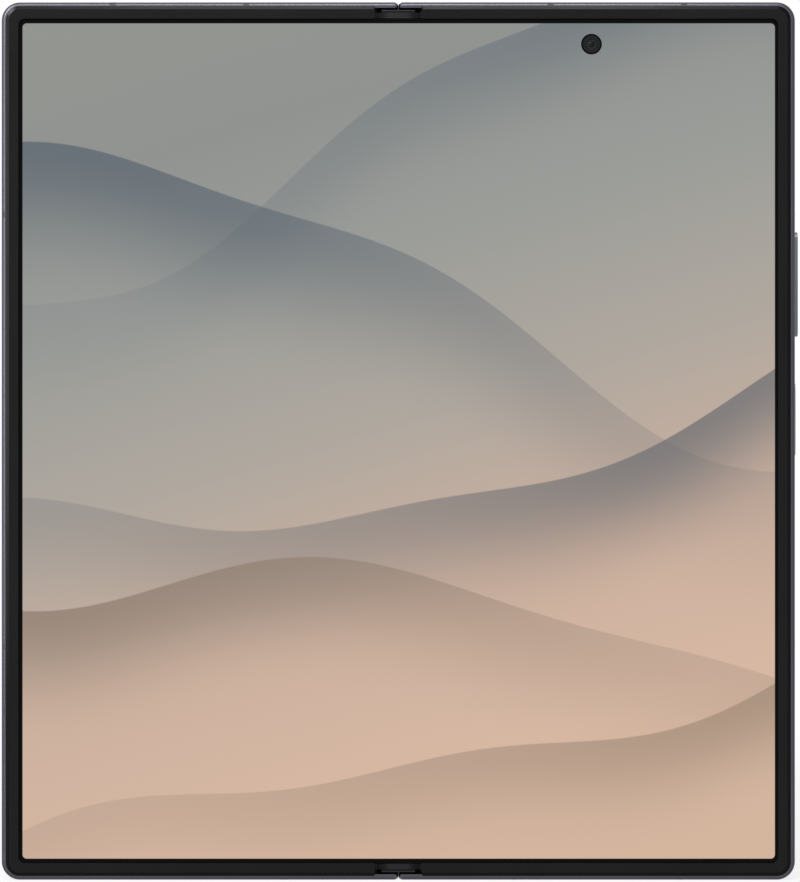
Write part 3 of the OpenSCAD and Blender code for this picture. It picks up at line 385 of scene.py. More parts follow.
def bezel_finish():
    """Bezels: soft-touch TPU, dull black. The flat top has a fine spark-eroded texture that
    scatters a little light. The shoulder, the sides and the inner roll-over are painted
    near-black:
    painted shade, darker than the rubber's own black."""
    made = grained("soft_touch_tpu", "0F0F0F", "121212", 0.2, grain_mm=0.16, depth_mm=0.001,
                   Specular_IOR_Level=0.10)
    tree, shader, textured = opened(made)
    # Everything but the flat top is painted near-black (030303): painted shade on the shoulder,
    # the sides and the inner roll-over.
    flat = flatness(tree, 0.975, 0.995)
    colour = add(tree, "Mix", {0: flat, 6: linear("030303"), 7: textured}, out=2,
                 data_type="RGBA")
    tree.links.new(colour, shader.inputs["Base Color"])
    return made


def cap_finish():
    """Hinge caps: black anodised aluminium. The top is painted lighter in the middle and darker
    towards both sides: painted highlight and painted shade of a dome. Beyond it a darker band is
    painted shade in the groove, and the rim past it is painted lighter: a painted highlight. The
    lower part is painted near-black: painted shade in the slot."""
    made = grained("black_anodised_cap", "28282A", "2E2E30", 0.3, 1.0, grain_mm=0.2)
    tree, shader, colour = opened(made)
    # Lighter in the middle and darker towards both sides (1A1A1B): painted highlight and painted
    # shade of the dome.
    sides = add(tree, "MapRange", (distance(tree, 0), 1.3 * MM, 3.1 * MM, 0.0, 1.0),
                interpolation_type="SMOOTHSTEP")
    colour = add(tree, "Mix", {0: sides, 6: colour, 7: linear("1A1A1B")}, out=2,
                 data_type="RGBA")
    up = distance(tree, 2, HALF_H)
    # Past 77.36 mm a darker band (1F1F21) is painted shade in the groove; past 77.67 mm the rim is
    # painted lighter (38383A): a painted highlight.
    for height, tone in ((77.36, "1F1F21"), (77.67, "38383A")):
        beyond = add(tree, "Math", (up, height * MM), operation="GREATER_THAN")
        colour = add(tree, "Mix", {0: beyond, 6: colour, 7: linear(tone)}, out=2,
                     data_type="RGBA")
    # Below the top the cap is painted near-black (040404): painted shade in the slot.
    depth = add(tree, "SeparateXYZ", (add(tree, "TexCoord", out="Object"),), out=1)
    low = add(tree, "MapRange", (depth, (FRAME_T / 2 - 3.2) * MM, (FRAME_T / 2 - 3.0) * MM,
                                 0.0, 1.0))
    colour = add(tree, "Mix", {0: low, 6: colour, 7: linear("040404")}, out=2, data_type="RGBA")
    tree.links.new(colour, shader.inputs["Base Color"])
    return made


def coil_finish():
    """Enamelled copper wire of 0.4 mm wound flat: rings by distance from the coil's centre, each
    turn painted lighter on its crest and darker between turns with the same wave as the bump:
    painted highlight and painted shade.
    """
    made, tree, shader = material("enamelled_copper_wire", "B06A3C", 0.28, 1.0)
    away = from_centre(tree, COIL)
    turn = add(tree, "Math", (away, 2 * math.pi / (0.4 * MM)), operation="MULTIPLY")
    round_wire = add(tree, "Math", (turn,), operation="SINE")
    share = add(tree, "MapRange", (round_wire, -1.0, 1.0, 0.0, 1.0))
    # Dark between turns and light on the crests: painted shade and painted highlight of the round
    # wire.
    colour = add(tree, "Mix", {0: share, 6: linear("6E3A1E"), 7: linear("C07A48")}, out=2,
                 data_type="RGBA")
    tree.links.new(colour, shader.inputs["Base Color"])
    tree.links.new(add(tree, "Bump", {"Height": share, "Distance": 0.1 * MM}),
                   shader.inputs["Normal"])
    return made


def board_finish():
    """Glass-epoxy board under black solder mask: copper tracks 0.3 mm wide show as a raised maze
    of cells, with a scatter of bright solder pads on a 1.6 mm pitch."""
    made, tree, shader = material("solder_masked_board", "0C1C18", 0.36, 0.0)
    spot = add(tree, "TexCoord", out="Object")
    cells = add(tree, "TexVoronoi", {"Vector": spot, "Scale": 1 / (1.6 * MM)},
                distance="CHEBYCHEV")
    tracks = add(tree, "TexBrick", {"Vector": spot, "Scale": 1 / (2.4 * MM),
                 "Mortar Size": 0.06, "Color1": (0, 0, 0, 1), "Color2": (0, 0, 0, 1),
                 "Mortar": (1, 1, 1, 1)})
    pads = add(tree, "MapRange", (cells, 0.10, 0.13, 1.0, 0.0))
    track = add(tree, "Mix", {0: tracks, 6: linear("0A1A16"), 7: linear("16332B")}, out=2,
                data_type="RGBA")
    colour = add(tree, "Mix", {0: pads, 6: track, 7: linear("B8B4A6")}, out=2, data_type="RGBA")
    tree.links.new(colour, shader.inputs["Base Color"])
    tree.links.new(pads, shader.inputs["Metallic"])
    tree.links.new(add(tree, "Bump", {"Height": tracks, "Distance": 0.03 * MM}),
                   shader.inputs["Normal"])
    return made


def ring_finish():
    """Camera rings: diamond-turned aluminium. Tool marks run round each lens, 0.25 mm apart so
    that they show; the height wraps at the lens pitch, so one formula serves all three."""
    made, tree, shader = material("diamond_turned_aluminium", "5A5C63", 0.2, 1.0)
    spot = add(tree, "TexCoord", out="Object")
    x = add(tree, "SeparateXYZ", (spot,), out=0)
    z = add(tree, "SeparateXYZ", (spot,), out=2)
    across = add(tree, "Math", (x, ISLAND_X * MM), operation="SUBTRACT")
    up = add(tree, "Math", (z, (LENS_Y[1] + HALF_H) * MM), operation="SUBTRACT")
    up = add(tree, "Math", (up, LENS_PITCH / 2 * MM, -LENS_PITCH / 2 * MM), operation="WRAP")
    place = add(tree, "CombineXYZ", (across, up, 0.0))
    away = add(tree, "VectorMath", (place,), out="Value", operation="LENGTH")
    turn = add(tree, "Math", (away, 2 * math.pi / (0.25 * MM)), operation="MULTIPLY")
    mark = add(tree, "Math", (turn,), operation="SINE")
    share = add(tree, "MapRange", (mark, -1.0, 1.0, 0.0, 1.0))
    colour = add(tree, "Mix", {0: share, 6: linear("54565D"), 7: linear("64666E")}, out=2,
                 data_type="RGBA")
    tree.links.new(colour, shader.inputs["Base Color"])
    tree.links.new(add(tree, "Bump", {"Height": mark, "Distance": 0.004 * MM}),
                   shader.inputs["Normal"])
    return made


def cover_glass_finish():
    """Cover display: clear hard glass, anti-reflection coated, over black ink. The switched-off
    panel behind it is a touch bluer than the ink round it, and the camera shows as a dark eye
    with a ring."""
    made, tree, shader = material("inked_cover_glass", "050506", 0.06, IOR=1.52,
                                  Specular_IOR_Level=0.22)
    past = [add(tree, "Math", (distance(tree, axis, middle), half * MM), operation="SUBTRACT")
            for axis, middle, half in ((0, COVER_MIDDLE, COVER_LIT_X), (2, HALF_H, COVER_LIT_Y))]
    edge = add(tree, "Math", (past[0], past[1]), operation="MAXIMUM")
    active = add(tree, "MapRange", (edge, -0.1 * MM, 0.1 * MM, 1.0, 0.0))
    away = from_centre(tree, COVER_CAMERA)
    hood = add(tree, "MapRange", (away, 1.85 * MM, 1.95 * MM, 1.0, 0.0))
    iris = add(tree, "MapRange", (away, 0.75 * MM, 0.85 * MM, 1.0, 0.0))
    spot = add(tree, "TexCoord", out="Object")
    haze = add(tree, "TexNoise", {"Vector": spot, "Scale": 1 / (30 * MM), "Detail": 2.0})
    rough = add(tree, "MapRange", (haze, *NOISE, 0.04, 0.09))
    colour = add(tree, "Mix", {0: active, 6: linear("040405"), 7: linear("0A0B0E")}, out=2,
                 data_type="RGBA")
    colour = add(tree, "Mix", {0: hood, 6: colour, 7: linear("020202")}, out=2, data_type="RGBA")
    colour = add(tree, "Mix", {0: iris, 6: colour, 7: linear("14161C")}, out=2, data_type="RGBA")
    tree.links.new(colour, shader.inputs["Base Color"])
    tree.links.new(rough, shader.inputs["Roughness"])
    return made


# Dune edges on the lit picture: slope, height at the middle (mm), two swells of (height, length,
# phase), how far the shade reaches below the edge (mm), its colour, and its strength 66 mm left
# and 66 mm right of the middle.
DUNES = [
    (0.42, 58.0, (9.0, 26.0, 0.4), (2.5, 11.0, 2.0), 26.0, "66707A", 0.15, 0.75),
    (-0.30, 27.0, (11.0, 30.0, 2.6), (3.0, 13.0, 0.6), 34.0, "5E6872", 0.85, 0.20),
    (0.22, -4.0, (10.0, 34.0, 4.4), (2.0, 12.0, 1.1), 30.0, "6C6E72", 0.30, 0.80),
    (-0.16, -31.0, (8.0, 28.0, 1.2), (3.0, 15.0, 3.0), 28.0, "8C7A6C", 0.75, 0.25),
    (0.30, -58.0, (7.0, 32.0, 3.3), (2.0, 12.0, 0.2), 24.0, "94806E", 0.25, 0.60),
]


def display_finish():
    """Inner display: a matt polymer film over the lit panel. Inside the lit area it shows a plain
    picture of layered dunes: a ramp from cool grey at the top to warm sand at the bottom, crossed
    by edges y = h + s x + a sin(x / w + p) + b sin(x / v + q), each with a shade that fades out
    below it. Outside that area the film is inked black."""
    made, tree, shader = material("polymer_display_film", "050506", 0.12, IOR=1.5,
                                  Specular_IOR_Level=0.04)
    plan = add(tree, "TexCoord", out="UV")
    u = add(tree, "SeparateXYZ", (plan,), out=0)
    v = add(tree, "SeparateXYZ", (plan,), out=1)
    x = add(tree, "MapRange", (u, 0.0, 1.0, -MAP_X, MAP_X), clamp=False)
    y = add(tree, "MapRange", (v, 0.0, 1.0, -MAP_Y, MAP_Y), clamp=False)
    tilt = add(tree, "Math", (x, -0.30, y), operation="MULTIPLY_ADD")
    height = add(tree, "MapRange", (tilt, -90.0, 90.0, 0.0, 1.0))
    colour = add(tree, "ValToRGB", (height,), stops=[
        (0.0, linear("D3B49D")), (0.16, linear("D6B7A2")), (0.34, linear("CBB09E")),
        (0.52, linear("AFA79E")), (0.70, linear("9A9C98")), (0.86, linear("8F928F")),
        (1.0, linear("92948F"))])
    for slope, middle, one, two, reach, shade, left, right in DUNES:
        edge = add(tree, "Math", (x, slope, middle), operation="MULTIPLY_ADD")
        for swell, length, phase in (one, two):
            wave = add(tree, "Math", (x, 1 / length, phase), operation="MULTIPLY_ADD")
            wave = add(tree, "Math", (wave,), operation="SINE")
            edge = add(tree, "Math", (wave, swell, edge), operation="MULTIPLY_ADD")
        below = add(tree, "Math", (edge, y), operation="SUBTRACT")
        inside = add(tree, "MapRange", (below, -0.12, 0.12, 0.0, 1.0))
        fade = add(tree, "MapRange", (below, 0.0, reach, 1.0, 0.0),
                   interpolation_type="SMOOTHSTEP")
        fade = add(tree, "Math", (fade, 1.6), operation="POWER")
        strength = add(tree, "MapRange", (x, -66.0, 66.0, left, right),
                       interpolation_type="SMOOTHSTEP")
        amount = add(tree, "Math", (inside, fade), operation="MULTIPLY")
        amount = add(tree, "Math", (amount, strength), operation="MULTIPLY")
        colour = add(tree, "Mix", {0: amount, 6: colour, 7: linear(shade)}, out=2,
                     data_type="RGBA")
    gone = []
    for value, centre, half in ((x, LIT_MIDDLE, LIT_X), (y, 0.0, LIT_Y)):
        away = add(tree, "Math", (value, centre), operation="SUBTRACT")
        away = add(tree, "Math", (away,), operation="ABSOLUTE")
        away = add(tree, "Math", (away, half - LIT_R), operation="SUBTRACT")
        gone.append(add(tree, "Math", (away, 0.0), operation="MAXIMUM"))
    corner = add(tree, "CombineXYZ", (gone[0], gone[1], 0.0))
    corner = add(tree, "VectorMath", (corner,), out="Value", operation="LENGTH")
    lit = add(tree, "MapRange", (corner, LIT_R - 0.05, LIT_R + 0.05, 1.0, 0.0))
    glow = add(tree, "Mix", {0: lit, 6: (0, 0, 0, 1), 7: colour}, out=2, data_type="RGBA")
    tree.links.new(glow, shader.inputs["Emission Color"])
    shader.inputs["Emission Strength"].default_value = 1.0
    weave = add(tree, "TexNoise", {"Vector": plan, "Scale": 400.0, "Detail": 2.0})
    rough = add(tree, "MapRange", (weave, *NOISE, 0.10, 0.15))
    tree.links.new(rough, shader.inputs["Roughness"])
    return made


def window_finish():
    """Inner camera's window: black ink with a rim, a dark grey inner ring and a darker eye, by
    distance from its centre."""
    made, tree, shader = material("inked_camera_window", "030303", 0.08, IOR=1.5,
                                  Specular_IOR_Level=0.03)
    away = from_centre(tree, SELFIE)
    ring = add(tree, "MapRange", (away, 1.51 * MM, 1.63 * MM, 1.0, 0.0))
    iris = add(tree, "MapRange", (away, 0.7 * MM, 1.1 * MM, 1.0, 0.0))
    colour = add(tree, "Mix", {0: ring, 6: linear("030303"), 7: linear("1B1B1D")}, out=2,
                 data_type="RGBA")
    colour = add(tree, "Mix", {0: iris, 6: colour, 7: linear("141619")}, out=2, data_type="RGBA")
    tree.links.new(colour, shader.inputs["Base Color"])
    return made


def coated_glass(name, body, painted_coat_reflection, gloss):
    """Lens element: dark glass whose anti-reflection coating lowers what it mirrors to the level
    given by gloss. Its colour turns to the coat's tint towards the rim as the surface turns from
    the view, in a patchy smear: a painted reflection of the coating."""
    made, tree, shader = material(name, body, 0.06, IOR=1.6, Specular_IOR_Level=gloss)
    # Towards the rim the colour takes the coat's tint: a painted reflection.
    rim = add(tree, "LayerWeight", {"Blend": 0.45}, out="Facing")
    smear = add(tree, "TexNoise", {"Vector": add(tree, "TexCoord", out="Object"),
                "Scale": 1 / (1.5 * MM), "Detail": 2.0})
    share = add(tree, "Math", (rim, smear), operation="MULTIPLY")
    colour = add(tree, "Mix", {0: share, 6: linear(body), 7: linear(painted_coat_reflection)}, out=2,
                 data_type="RGBA")
    tree.links.new(colour, shader.inputs["Base Color"])
    return made


def clear_glass():
    """Camera cover glass: clear, ground flat, anti-reflection coated, with a breath of haze."""
    made, tree, shader = material("coated_camera_glass", "F4F6F8", 0.03, IOR=1.5,
                                  Transmission_Weight=1.0, Specular_Tint=(0.15, 0.17, 0.22, 1.0))
    haze = add(tree, "TexNoise", {"Vector": add(tree, "TexCoord", out="Object"),
               "Scale": 1 / (4 * MM), "Detail": 2.0})
    tree.links.new(add(tree, "MapRange", (haze, *NOISE, 0.01, 0.04)),
                   shader.inputs["Roughness"])
    return made


def mesh_finish():
    """Speaker guard: woven steel mesh, 0.3 mm between wires, drawn as two crossed waves; the gaps
    between the wires are painted near-black: painted shade of the space behind.
    """
    made, tree, shader = material("woven_steel_mesh", "2A2B2E", 0.4, 0.8)
    spot = add(tree, "TexCoord", out="Object")
    x = add(tree, "SeparateXYZ", (spot,), out=0)
    y = add(tree, "SeparateXYZ", (spot,), out=1)
    both = []
    for along in (x, y):
        turn = add(tree, "Math", (along, 2 * math.pi / (0.3 * MM)), operation="MULTIPLY")
        both.append(add(tree, "Math", (turn,), operation="SINE"))
    wire = add(tree, "Math", (both[0], both[1]), operation="MAXIMUM")
    share = add(tree, "MapRange", (wire, 0.2, 0.8, 0.0, 1.0))
    # Gaps between the wires are painted near-black (050505): painted shade of the space behind.
    colour = add(tree, "Mix", {0: share, 6: linear("050505"), 7: linear("3C3E42")}, out=2,
                 data_type="RGBA")
    tree.links.new(colour, shader.inputs["Base Color"])
    tree.links.new(add(tree, "Bump", {"Height": wire, "Distance": 0.05 * MM}),
                   shader.inputs["Normal"])
    return made


# One finish for each slot of the row. Grain finer than about 0.1 mm would not show, so blasted,
# etched and textured surfaces are drawn with grain of 0.1 to 0.2 mm.
finish = {
    "frame_metal": frame_finish(),
    "bezel_rubber": bezel_finish(),
    "cap_metal": cap_finish(),
    "coil_copper": coil_finish(),
    "board_laminate": board_finish(),
    "ring_metal": ring_finish(),
    "black_glass": cover_glass_finish(),
    "display_film": display_finish(),
    "lens_glass": clear_glass(),
    # Keys: the frames' metal, milled and polished a little brighter.
    "key_metal": grained("anodised_key_aluminium", "65666C", "6E6F75", 0.26, 1.0, grain_mm=0.15,
                         depth_mm=0.002),
    # Antenna bands: glass-filled PBT moulded into the frame and blasted with it: matt, a shade
    # off the metal.
    "antenna_plastic": grained("moulded_pbt", "323238", "38383E", 0.45, grain_mm=0.2,
                               Specular_IOR_Level=0.3),
    # Support plates: rolled stainless sheet, with faint lines up the phone.
    "plate_steel": grained("rolled_stainless_sheet", "A2A4A6", "B0B2B4", 0.34, 1.0,
                           grain_mm=0.12, stretch=(1, 1, 30)),
    # Back of the right half: acid-etched glass over a dark film: a fine satin sparkle.
    "frosted_glass": grained("acid_etched_glass", "484B54", "50535C", 0.36, grain_mm=0.12,
                             depth_mm=0.0015, IOR=1.52),
    # Camera island: blasted and anodised a shade darker than the frames.
    "island_metal": grained("anodised_island_aluminium", "3C3E45", "44464D", 0.28, 1.0,
                            grain_mm=0.15, depth_mm=0.002),
    # Hinge parts: metal-injection-moulded steel, tumbled: slightly pitted satin.
    "hinge_steel": grained("sintered_steel", "6E7074", "808287", 0.36, 1.0, grain_mm=0.4,
                           depth_mm=0.008),
    # Gears: hobbed steel, with cutter lines along the teeth.
    "gear_steel": grained("hobbed_steel", "8C8E90", "9C9EA0", 0.30, 1.0, grain_mm=0.2,
                          stretch=(1, 1, 12)),
    # Pins: ground rod, almost mirror-bright, with fine lines round it.
    "pin_steel": grained("ground_steel_rod", "9EA0A2", "A8AAAC", 0.18, 1.0, grain_mm=0.1,
                         stretch=(12, 12, 1)),
    # Screws: zinc-plated, an even bright grey.
    "screw_steel": grained("zinc_plated_steel", "8A8C8E", "9A9C9C", 0.3, 1.0, grain_mm=0.2),
    # Spine cover: drawn, brushed along its length and anodised dark.
    "spine_metal": grained("anodised_spine_aluminium", "3A3C42", "42444A", 0.24, 1.0,
                           grain_mm=0.2, stretch=(1, 1, 10), depth_mm=0.002),
    # Magnets: nickel plate, warm and bright.
    "magnet_plating": grained("nickel_plating", "A7A49C", "B5B2AA", 0.22, 1.0, grain_mm=0.5),
    # Shield cans: tin-plated sheet, with rolling lines across.
    "can_steel": grained("tin_plated_steel", "9A9C9E", "A8AAAC", 0.30, 1.0, grain_mm=0.5,
                         stretch=(8, 1, 1)),
    # Switches: stamped spring steel, clean and bright.
    "switch_metal": grained("stamped_switch_steel", "B0B0AE", "BDBDBB", 0.28, 1.0),
    # Port: deep-drawn steel, with draw lines along its shell.
    "port_steel": grained("deep_drawn_steel", "7C7E82", "8A8C90", 0.24, 1.0, grain_mm=0.3,
                          stretch=(1, 1, 8)),
    # Camera and reader housings: liquid-crystal polymer, dead black with a dull sheen.
    "module_plastic": grained("moulded_black_lcp", "0E0E10", "141416", 0.42, grain_mm=0.2,
                              Specular_IOR_Level=0.35),
    # Speaker boxes: polycarbonate off a lightly etched mould: dark grey, matt.
    "speaker_plastic": grained("moulded_pc", "18181A", "202022", 0.46, grain_mm=0.25),
    # Batteries: aluminium-laminate pouch in a dark nylon skin, faintly wrinkled.
    "battery_pouch": grained("laminate_pouch", "3A3B3E", "46474A", 0.38, 0.6, grain_mm=3.0,
                             depth_mm=0.06),
    # Cover panel: black film on the back of an unlit display.
    "panel_black": grained("panel_back_film", "0A0A0C", "0F0F12", 0.3, grain_mm=0.4),
    # Flash: moulded acrylic, tinted yellow by the phosphor behind it.
    "flash_lens": grained("moulded_pmma_lens", "D8CFA8", "E6DFC2", 0.16, grain_mm=0.4,
                          Specular_IOR_Level=0.5),
}

# Each node's material comes under the name of its slot.
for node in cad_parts.values():
    slot_name = node.material_slots[0].material.name
    node.material_slots[0].material = finish[slot_name]


# ---------- the inner display ----------

def display_half(side):
    """One half of the folding display: a plate with rounded outer corners, notched at the hinge
    caps, with the camera's hole in the right half."""
    middle = (PANEL_X - PANEL_R, PANEL_Y - PANEL_R)
    outline = np.concatenate([
        [(0, -FOLD_Y), (OPENING_X, -FOLD_Y), (OPENING_X, -PANEL_Y)],
        arc((middle[0], -middle[1]), PANEL_R, -90, 0, 12), arc(middle, PANEL_R, 0, 90, 12),
        [(OPENING_X, PANEL_Y), (OPENING_X, FOLD_Y), (0, FOLD_Y)]])
    holes = [arc(SELFIE, SELFIE_R, 0, 360, 65)[:-1]] if side > 0 else []
    points, faces = plate(outline, holes, PANEL_BACK, PANEL_TOP)
    points[:, 0] *= side
    return points, faces


# Each half is cut across every 0.2 mm between BEND_START and BEND_END, so that it can bend there.
for side, name in ((1, "right"), (-1, "left")):
    stations = side * np.linspace(BEND_START, BEND_END, 11)
    film = mesh_piece("display_" + name, display_half(side), finish["display_film"],
                      cuts=stations.tolist(), uv=True)
    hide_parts(name + "_display_panel", "display_fold")
    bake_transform(film)


# ---------- the bezels ----------

# Across a bezel: (how far in from its seat's outer edge, height). A shoulder laps over the frame
# and slopes up to the flat top. Past a narrow slope the inner edge rolls over to the display,
# falling by 0.27 q^1.7 as q goes from 0 to 1.
q = np.linspace(0, 1, 9)[1:]
BEZEL_PROFILE = np.concatenate([
    [(0.0, 3.61), (0.0, 4.203), (-SHOULDER, 4.203), (-SHOULDER, 4.212), (-0.05, 4.352),
     (0.0, BEZEL_TOP), (1.62, BEZEL_TOP), (1.70, 4.36)],
    np.c_[1.70 + 0.10 * q, 4.36 - 0.27 * q ** 1.7], [(1.80, 4.06), (0.21, 4.06), (0.21, 3.61)]])


def bezel(side):
    """The profile carried along the top, round the outer corners, down the side and back along
    the bottom, between three outlines: the shoulder's, the seat's and the inner one, each with
    its own corner radius. Over the last BEZEL_EASE at each end the profile narrows by
    r - sqrt(r^2 - (r - e)^2) on both sides, r being BEZEL_EASE and e the distance to the end,
    which rounds the ends in plan, and its uppermost 0.16 mm comes down by a tenth of that. A low
    tongue at each end reaches to the hinge cap."""
    e = BEZEL_EASE * np.array([0, 1 / 15, 0.2, 0.4, 2 / 3, 1])
    crown = 0.16
    turn = np.radians(np.linspace(90, -90, 26))
    upper = np.where(turn > 0, 1, -1)
    width = BEZEL_PROFILE[:, 0].max()

    def outline(inset, radius):
        top = np.c_[BEZEL_START + e, np.full(len(e), BEZEL_Y - inset)]
        x = BEZEL_X - inset - radius + radius * np.cos(turn)
        y = upper * (BEZEL_Y - inset - radius) + radius * np.sin(turn)
        return np.concatenate([top, np.c_[x, y], (top * (1, -1))[::-1]])[:, None, :]

    shoulder = outline(-SHOULDER, BEZEL_R + SHOULDER)
    seat = outline(0, BEZEL_R)
    inner = outline(width, BEZEL_INNER_R)
    narrow = np.zeros((len(seat), 1))
    narrow[:len(e), 0] = BEZEL_EASE - np.sqrt(BEZEL_EASE ** 2 - (BEZEL_EASE - e) ** 2)
    narrow[-len(e):] = narrow[:len(e)][::-1]
    t = narrow + BEZEL_PROFILE[:, 0] * (width - 2 * narrow) / width
    high = np.maximum(BEZEL_PROFILE[:, 1] - BEZEL_TOP + crown, 0) / crown
    z = BEZEL_PROFILE[:, 1] - 0.1 * narrow * high
    inward = np.clip(t / width, 0, 1)[..., None]
    outward = np.clip(-t / SHOULDER, 0, 1)[..., None]
    xy = seat * (1 - inward - outward) + inner * inward + shoulder * outward
    sections = np.concatenate([xy, z[..., None]], -1)
    sections[..., 0] *= side
    shells = [loft(sections)]
    for end in (1, -1):
        x, y = (sorted(way * edge for edge in span)
                for way, span in ((side, TONGUE_X), (end, TONGUE_Y)))
        shells.append(block(*x, *y, *TONGUE_Z, 0.03))
    return join(shells)


for side, name in ((1, "right"), (-1, "left")):
    trim = mesh_piece("bezel_" + name, bezel(side), finish["bezel_rubber"], name + "_half",
                      sharp=12)
    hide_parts(name + "_bezel")


# ---------- the hinge caps ----------

# Along the end of the spine and along its lip: (distance from mid-height, how far its edge is
# eased in).
SPINE_END = ((75.06, 0.0), (77.55, 0.0), (77.65, 0.04), (77.7, 0.12))
SPINE_LIP = ((77.6, 0.02), (78.0, 0.02), (78.05, 0.07))
# Up the two blocks of a hinge cap, the body and the narrower rim beyond it: (distance from
# mid-height, height over the dome).
CAP_BODY = np.array([
    (76.27, -0.60), (76.27, -0.05), (76.29, 0.0), (77.32, 0.0), (77.36, -0.06), (77.36, -0.60)])
CAP_RIM = np.array([
    (77.30, -0.70), (77.30, -0.10), (77.64, -0.10), (77.67, -0.06), (77.81, -0.06),
    (77.84, -0.10), (77.84, -0.70)])


def hinge_cap(side):
    """Four lofts. The end of the spine: a half-round section of radius SPINE_R about each fold
    axis with a flat between them, its outer rim eased. A lip of the same section, cut off lower,
    that closes the slot to the end wall. And the body and the rim that fill the gap between the
    bezels, under a dome whose height falls by CAP_FALL (x / CAP_HALF)^2."""
    def half_round(tilt, y, inset):
        """One section, from tilt degrees under one rim round to the other."""
        left = arc((0, 0), 1, 180 + tilt, 270, 12)
        right = arc((0, 0), 1, 270, 360 - tilt, 12)
        middle = np.repeat([(-FOLD_X, FOLD_Z), (FOLD_X, FOLD_Z)], 12, axis=0)
        ring = middle + np.concatenate([left, right]) * (SPINE_R - inset)
        return np.c_[ring[:, 0], np.full(len(ring), side * y), ring[:, 1]]

    shells = [loft([half_round(tilt, *station) for station in stations])
              for tilt, stations in ((3.5, SPINE_END), (18, SPINE_LIP))]
    for profile, half in ((CAP_BODY, CAP_HALF), (CAP_RIM, RIM_HALF)):
        u = np.sin(np.radians(np.linspace(-90, 90, 31)))[:, None]
        middle = (profile[:, 0].min() + profile[:, 0].max()) / 2
        y = middle + (profile[:, 0] - middle) * (1 - 0.12 * np.abs(u) ** 24)
        z = CAP_DOME - CAP_FALL * (half * u / CAP_HALF) ** 2 + profile[:, 1]
        shells.append(loft(np.stack([np.broadcast_to(half * u, y.shape), side * y, z], -1)))
    return join(shells)


for side, name in ((1, "upper"), (-1, "lower")):
    cap = mesh_piece("hinge_cap_" + name, hinge_cap(side), finish["cap_metal"], "spine", sharp=25)
    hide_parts(name + "_hinge_cap")


# ---------- the seam seals ----------

# At each end of the seam a thin rubber strip on the left half's face keeps dust out when open.
SEAL = (78.16, 78.85)
strips = [block(-0.05, 0.02, *sorted(end * y for y in SEAL), 0.3, 3.05, 0.02)
          for end in (1, -1)]
piece = mesh_piece("seam_seals", join(strips), finish["bezel_rubber"], "left_half")


# ---------- the inner camera ----------

def lens_face(radius, top, sag, back, steps):
    """A lens element's closed profile of (radius, z): from the axis outwards its face lies at
    top - sag (r / radius)^2, over a flat back."""
    r = np.linspace(0, radius, steps)
    return np.c_[np.r_[r, radius, 0.0], np.r_[top - sag * (r / radius) ** 2, back, back]]


# The window's (radius, z): a funnel round the lens, a flat ring and a raised rim.
WINDOW = [(0.78, 3.72), (0.80, 3.90), (0.88, 3.985), (1.50, 4.0), (1.56, 4.0), (1.60, 4.03),
          (1.80, 4.035), (1.83, 4.01), (1.83, 3.80), (1.38, 3.80), (1.38, 3.72)]
piece = mesh_piece("inner_camera_window", revolve(WINDOW, SELFIE, 72), window_finish(),
                   "right_half")
selfie_glass = coated_glass("coated_selfie_element", "141519", "26283A", 0.03)
piece = mesh_piece("inner_camera_element",
                   revolve(lens_face(0.79, 3.97, 0.22, 3.74, 9), SELFIE, 48), selfie_glass,
                   "right_half")
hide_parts("inner_camera_lens")


# ---------- the back cameras and the flash ----------

# A barrel's (radius, z): its bore steps in from the cover glass to the lens element. The square
# sensor block sits deeper in the phone.
BARREL = [(5.0, -1.27), (5.0, 1.2), (1.2, 1.2), (2.4, -0.1), (2.6, -0.12), (2.75, -0.45),
          (3.3, -0.5), (3.4, -0.75), (3.9, -0.8), (4.0, -1.02), (4.5, -1.06), (4.6, -1.25)]
shells = [revolve(BARREL, (ISLAND_X, y)) for y in LENS_Y]
shells += [block(ISLAND_X - SENSOR_HALF, ISLAND_X + SENSOR_HALF, y - SENSOR_HALF,
                 y + SENSOR_HALF, 1.1, 3.15, 0.6) for y in LENS_Y]
# Barrels: matt black paint that swallows stray light.
barrel_black = grained("matt_black_barrel", "060607", "0A0A0B", 0.5, grain_mm=0.2,
                       Specular_IOR_Level=0.08)
piece = mesh_piece("lens_barrels", join(shells), barrel_black, "right_half", sharp=25)
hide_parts("camera_modules")
# The elements bulge backwards, so their sag is negative.
bulge = lens_face(2.62, -0.72, -0.55, 0.1, 12)
main_glass = coated_glass("coated_main_element", "08090E", "2C2F58", 0.12)
piece = mesh_piece("lens_elements", join([revolve(bulge, (ISLAND_X, y), 56) for y in LENS_Y]),
                   main_glass, "right_half")

# The flash lens's (radius, z): a middle bead, ridges 0.17 mm apart like saw teeth, and the rim.
ridge = np.arange(0.25, 1.95, 0.17)
teeth = np.c_[np.c_[ridge, ridge + 0.15].ravel(), np.tile([0.02, 0.10], len(ridge))]
flash = np.concatenate([[(0.0, 0.03), (0.2, 0.05)], teeth,
                        [(2.02, 0.01), (2.08, 0.04), (2.08, 0.6), (0.0, 0.6)]])
piece = mesh_piece("flash_lens_ridges", revolve(flash, FLASH, 56), finish["flash_lens"],
                   "right_half", sharp=20)
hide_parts("flash_led")


# ---------- port contacts and speaker guards ----------

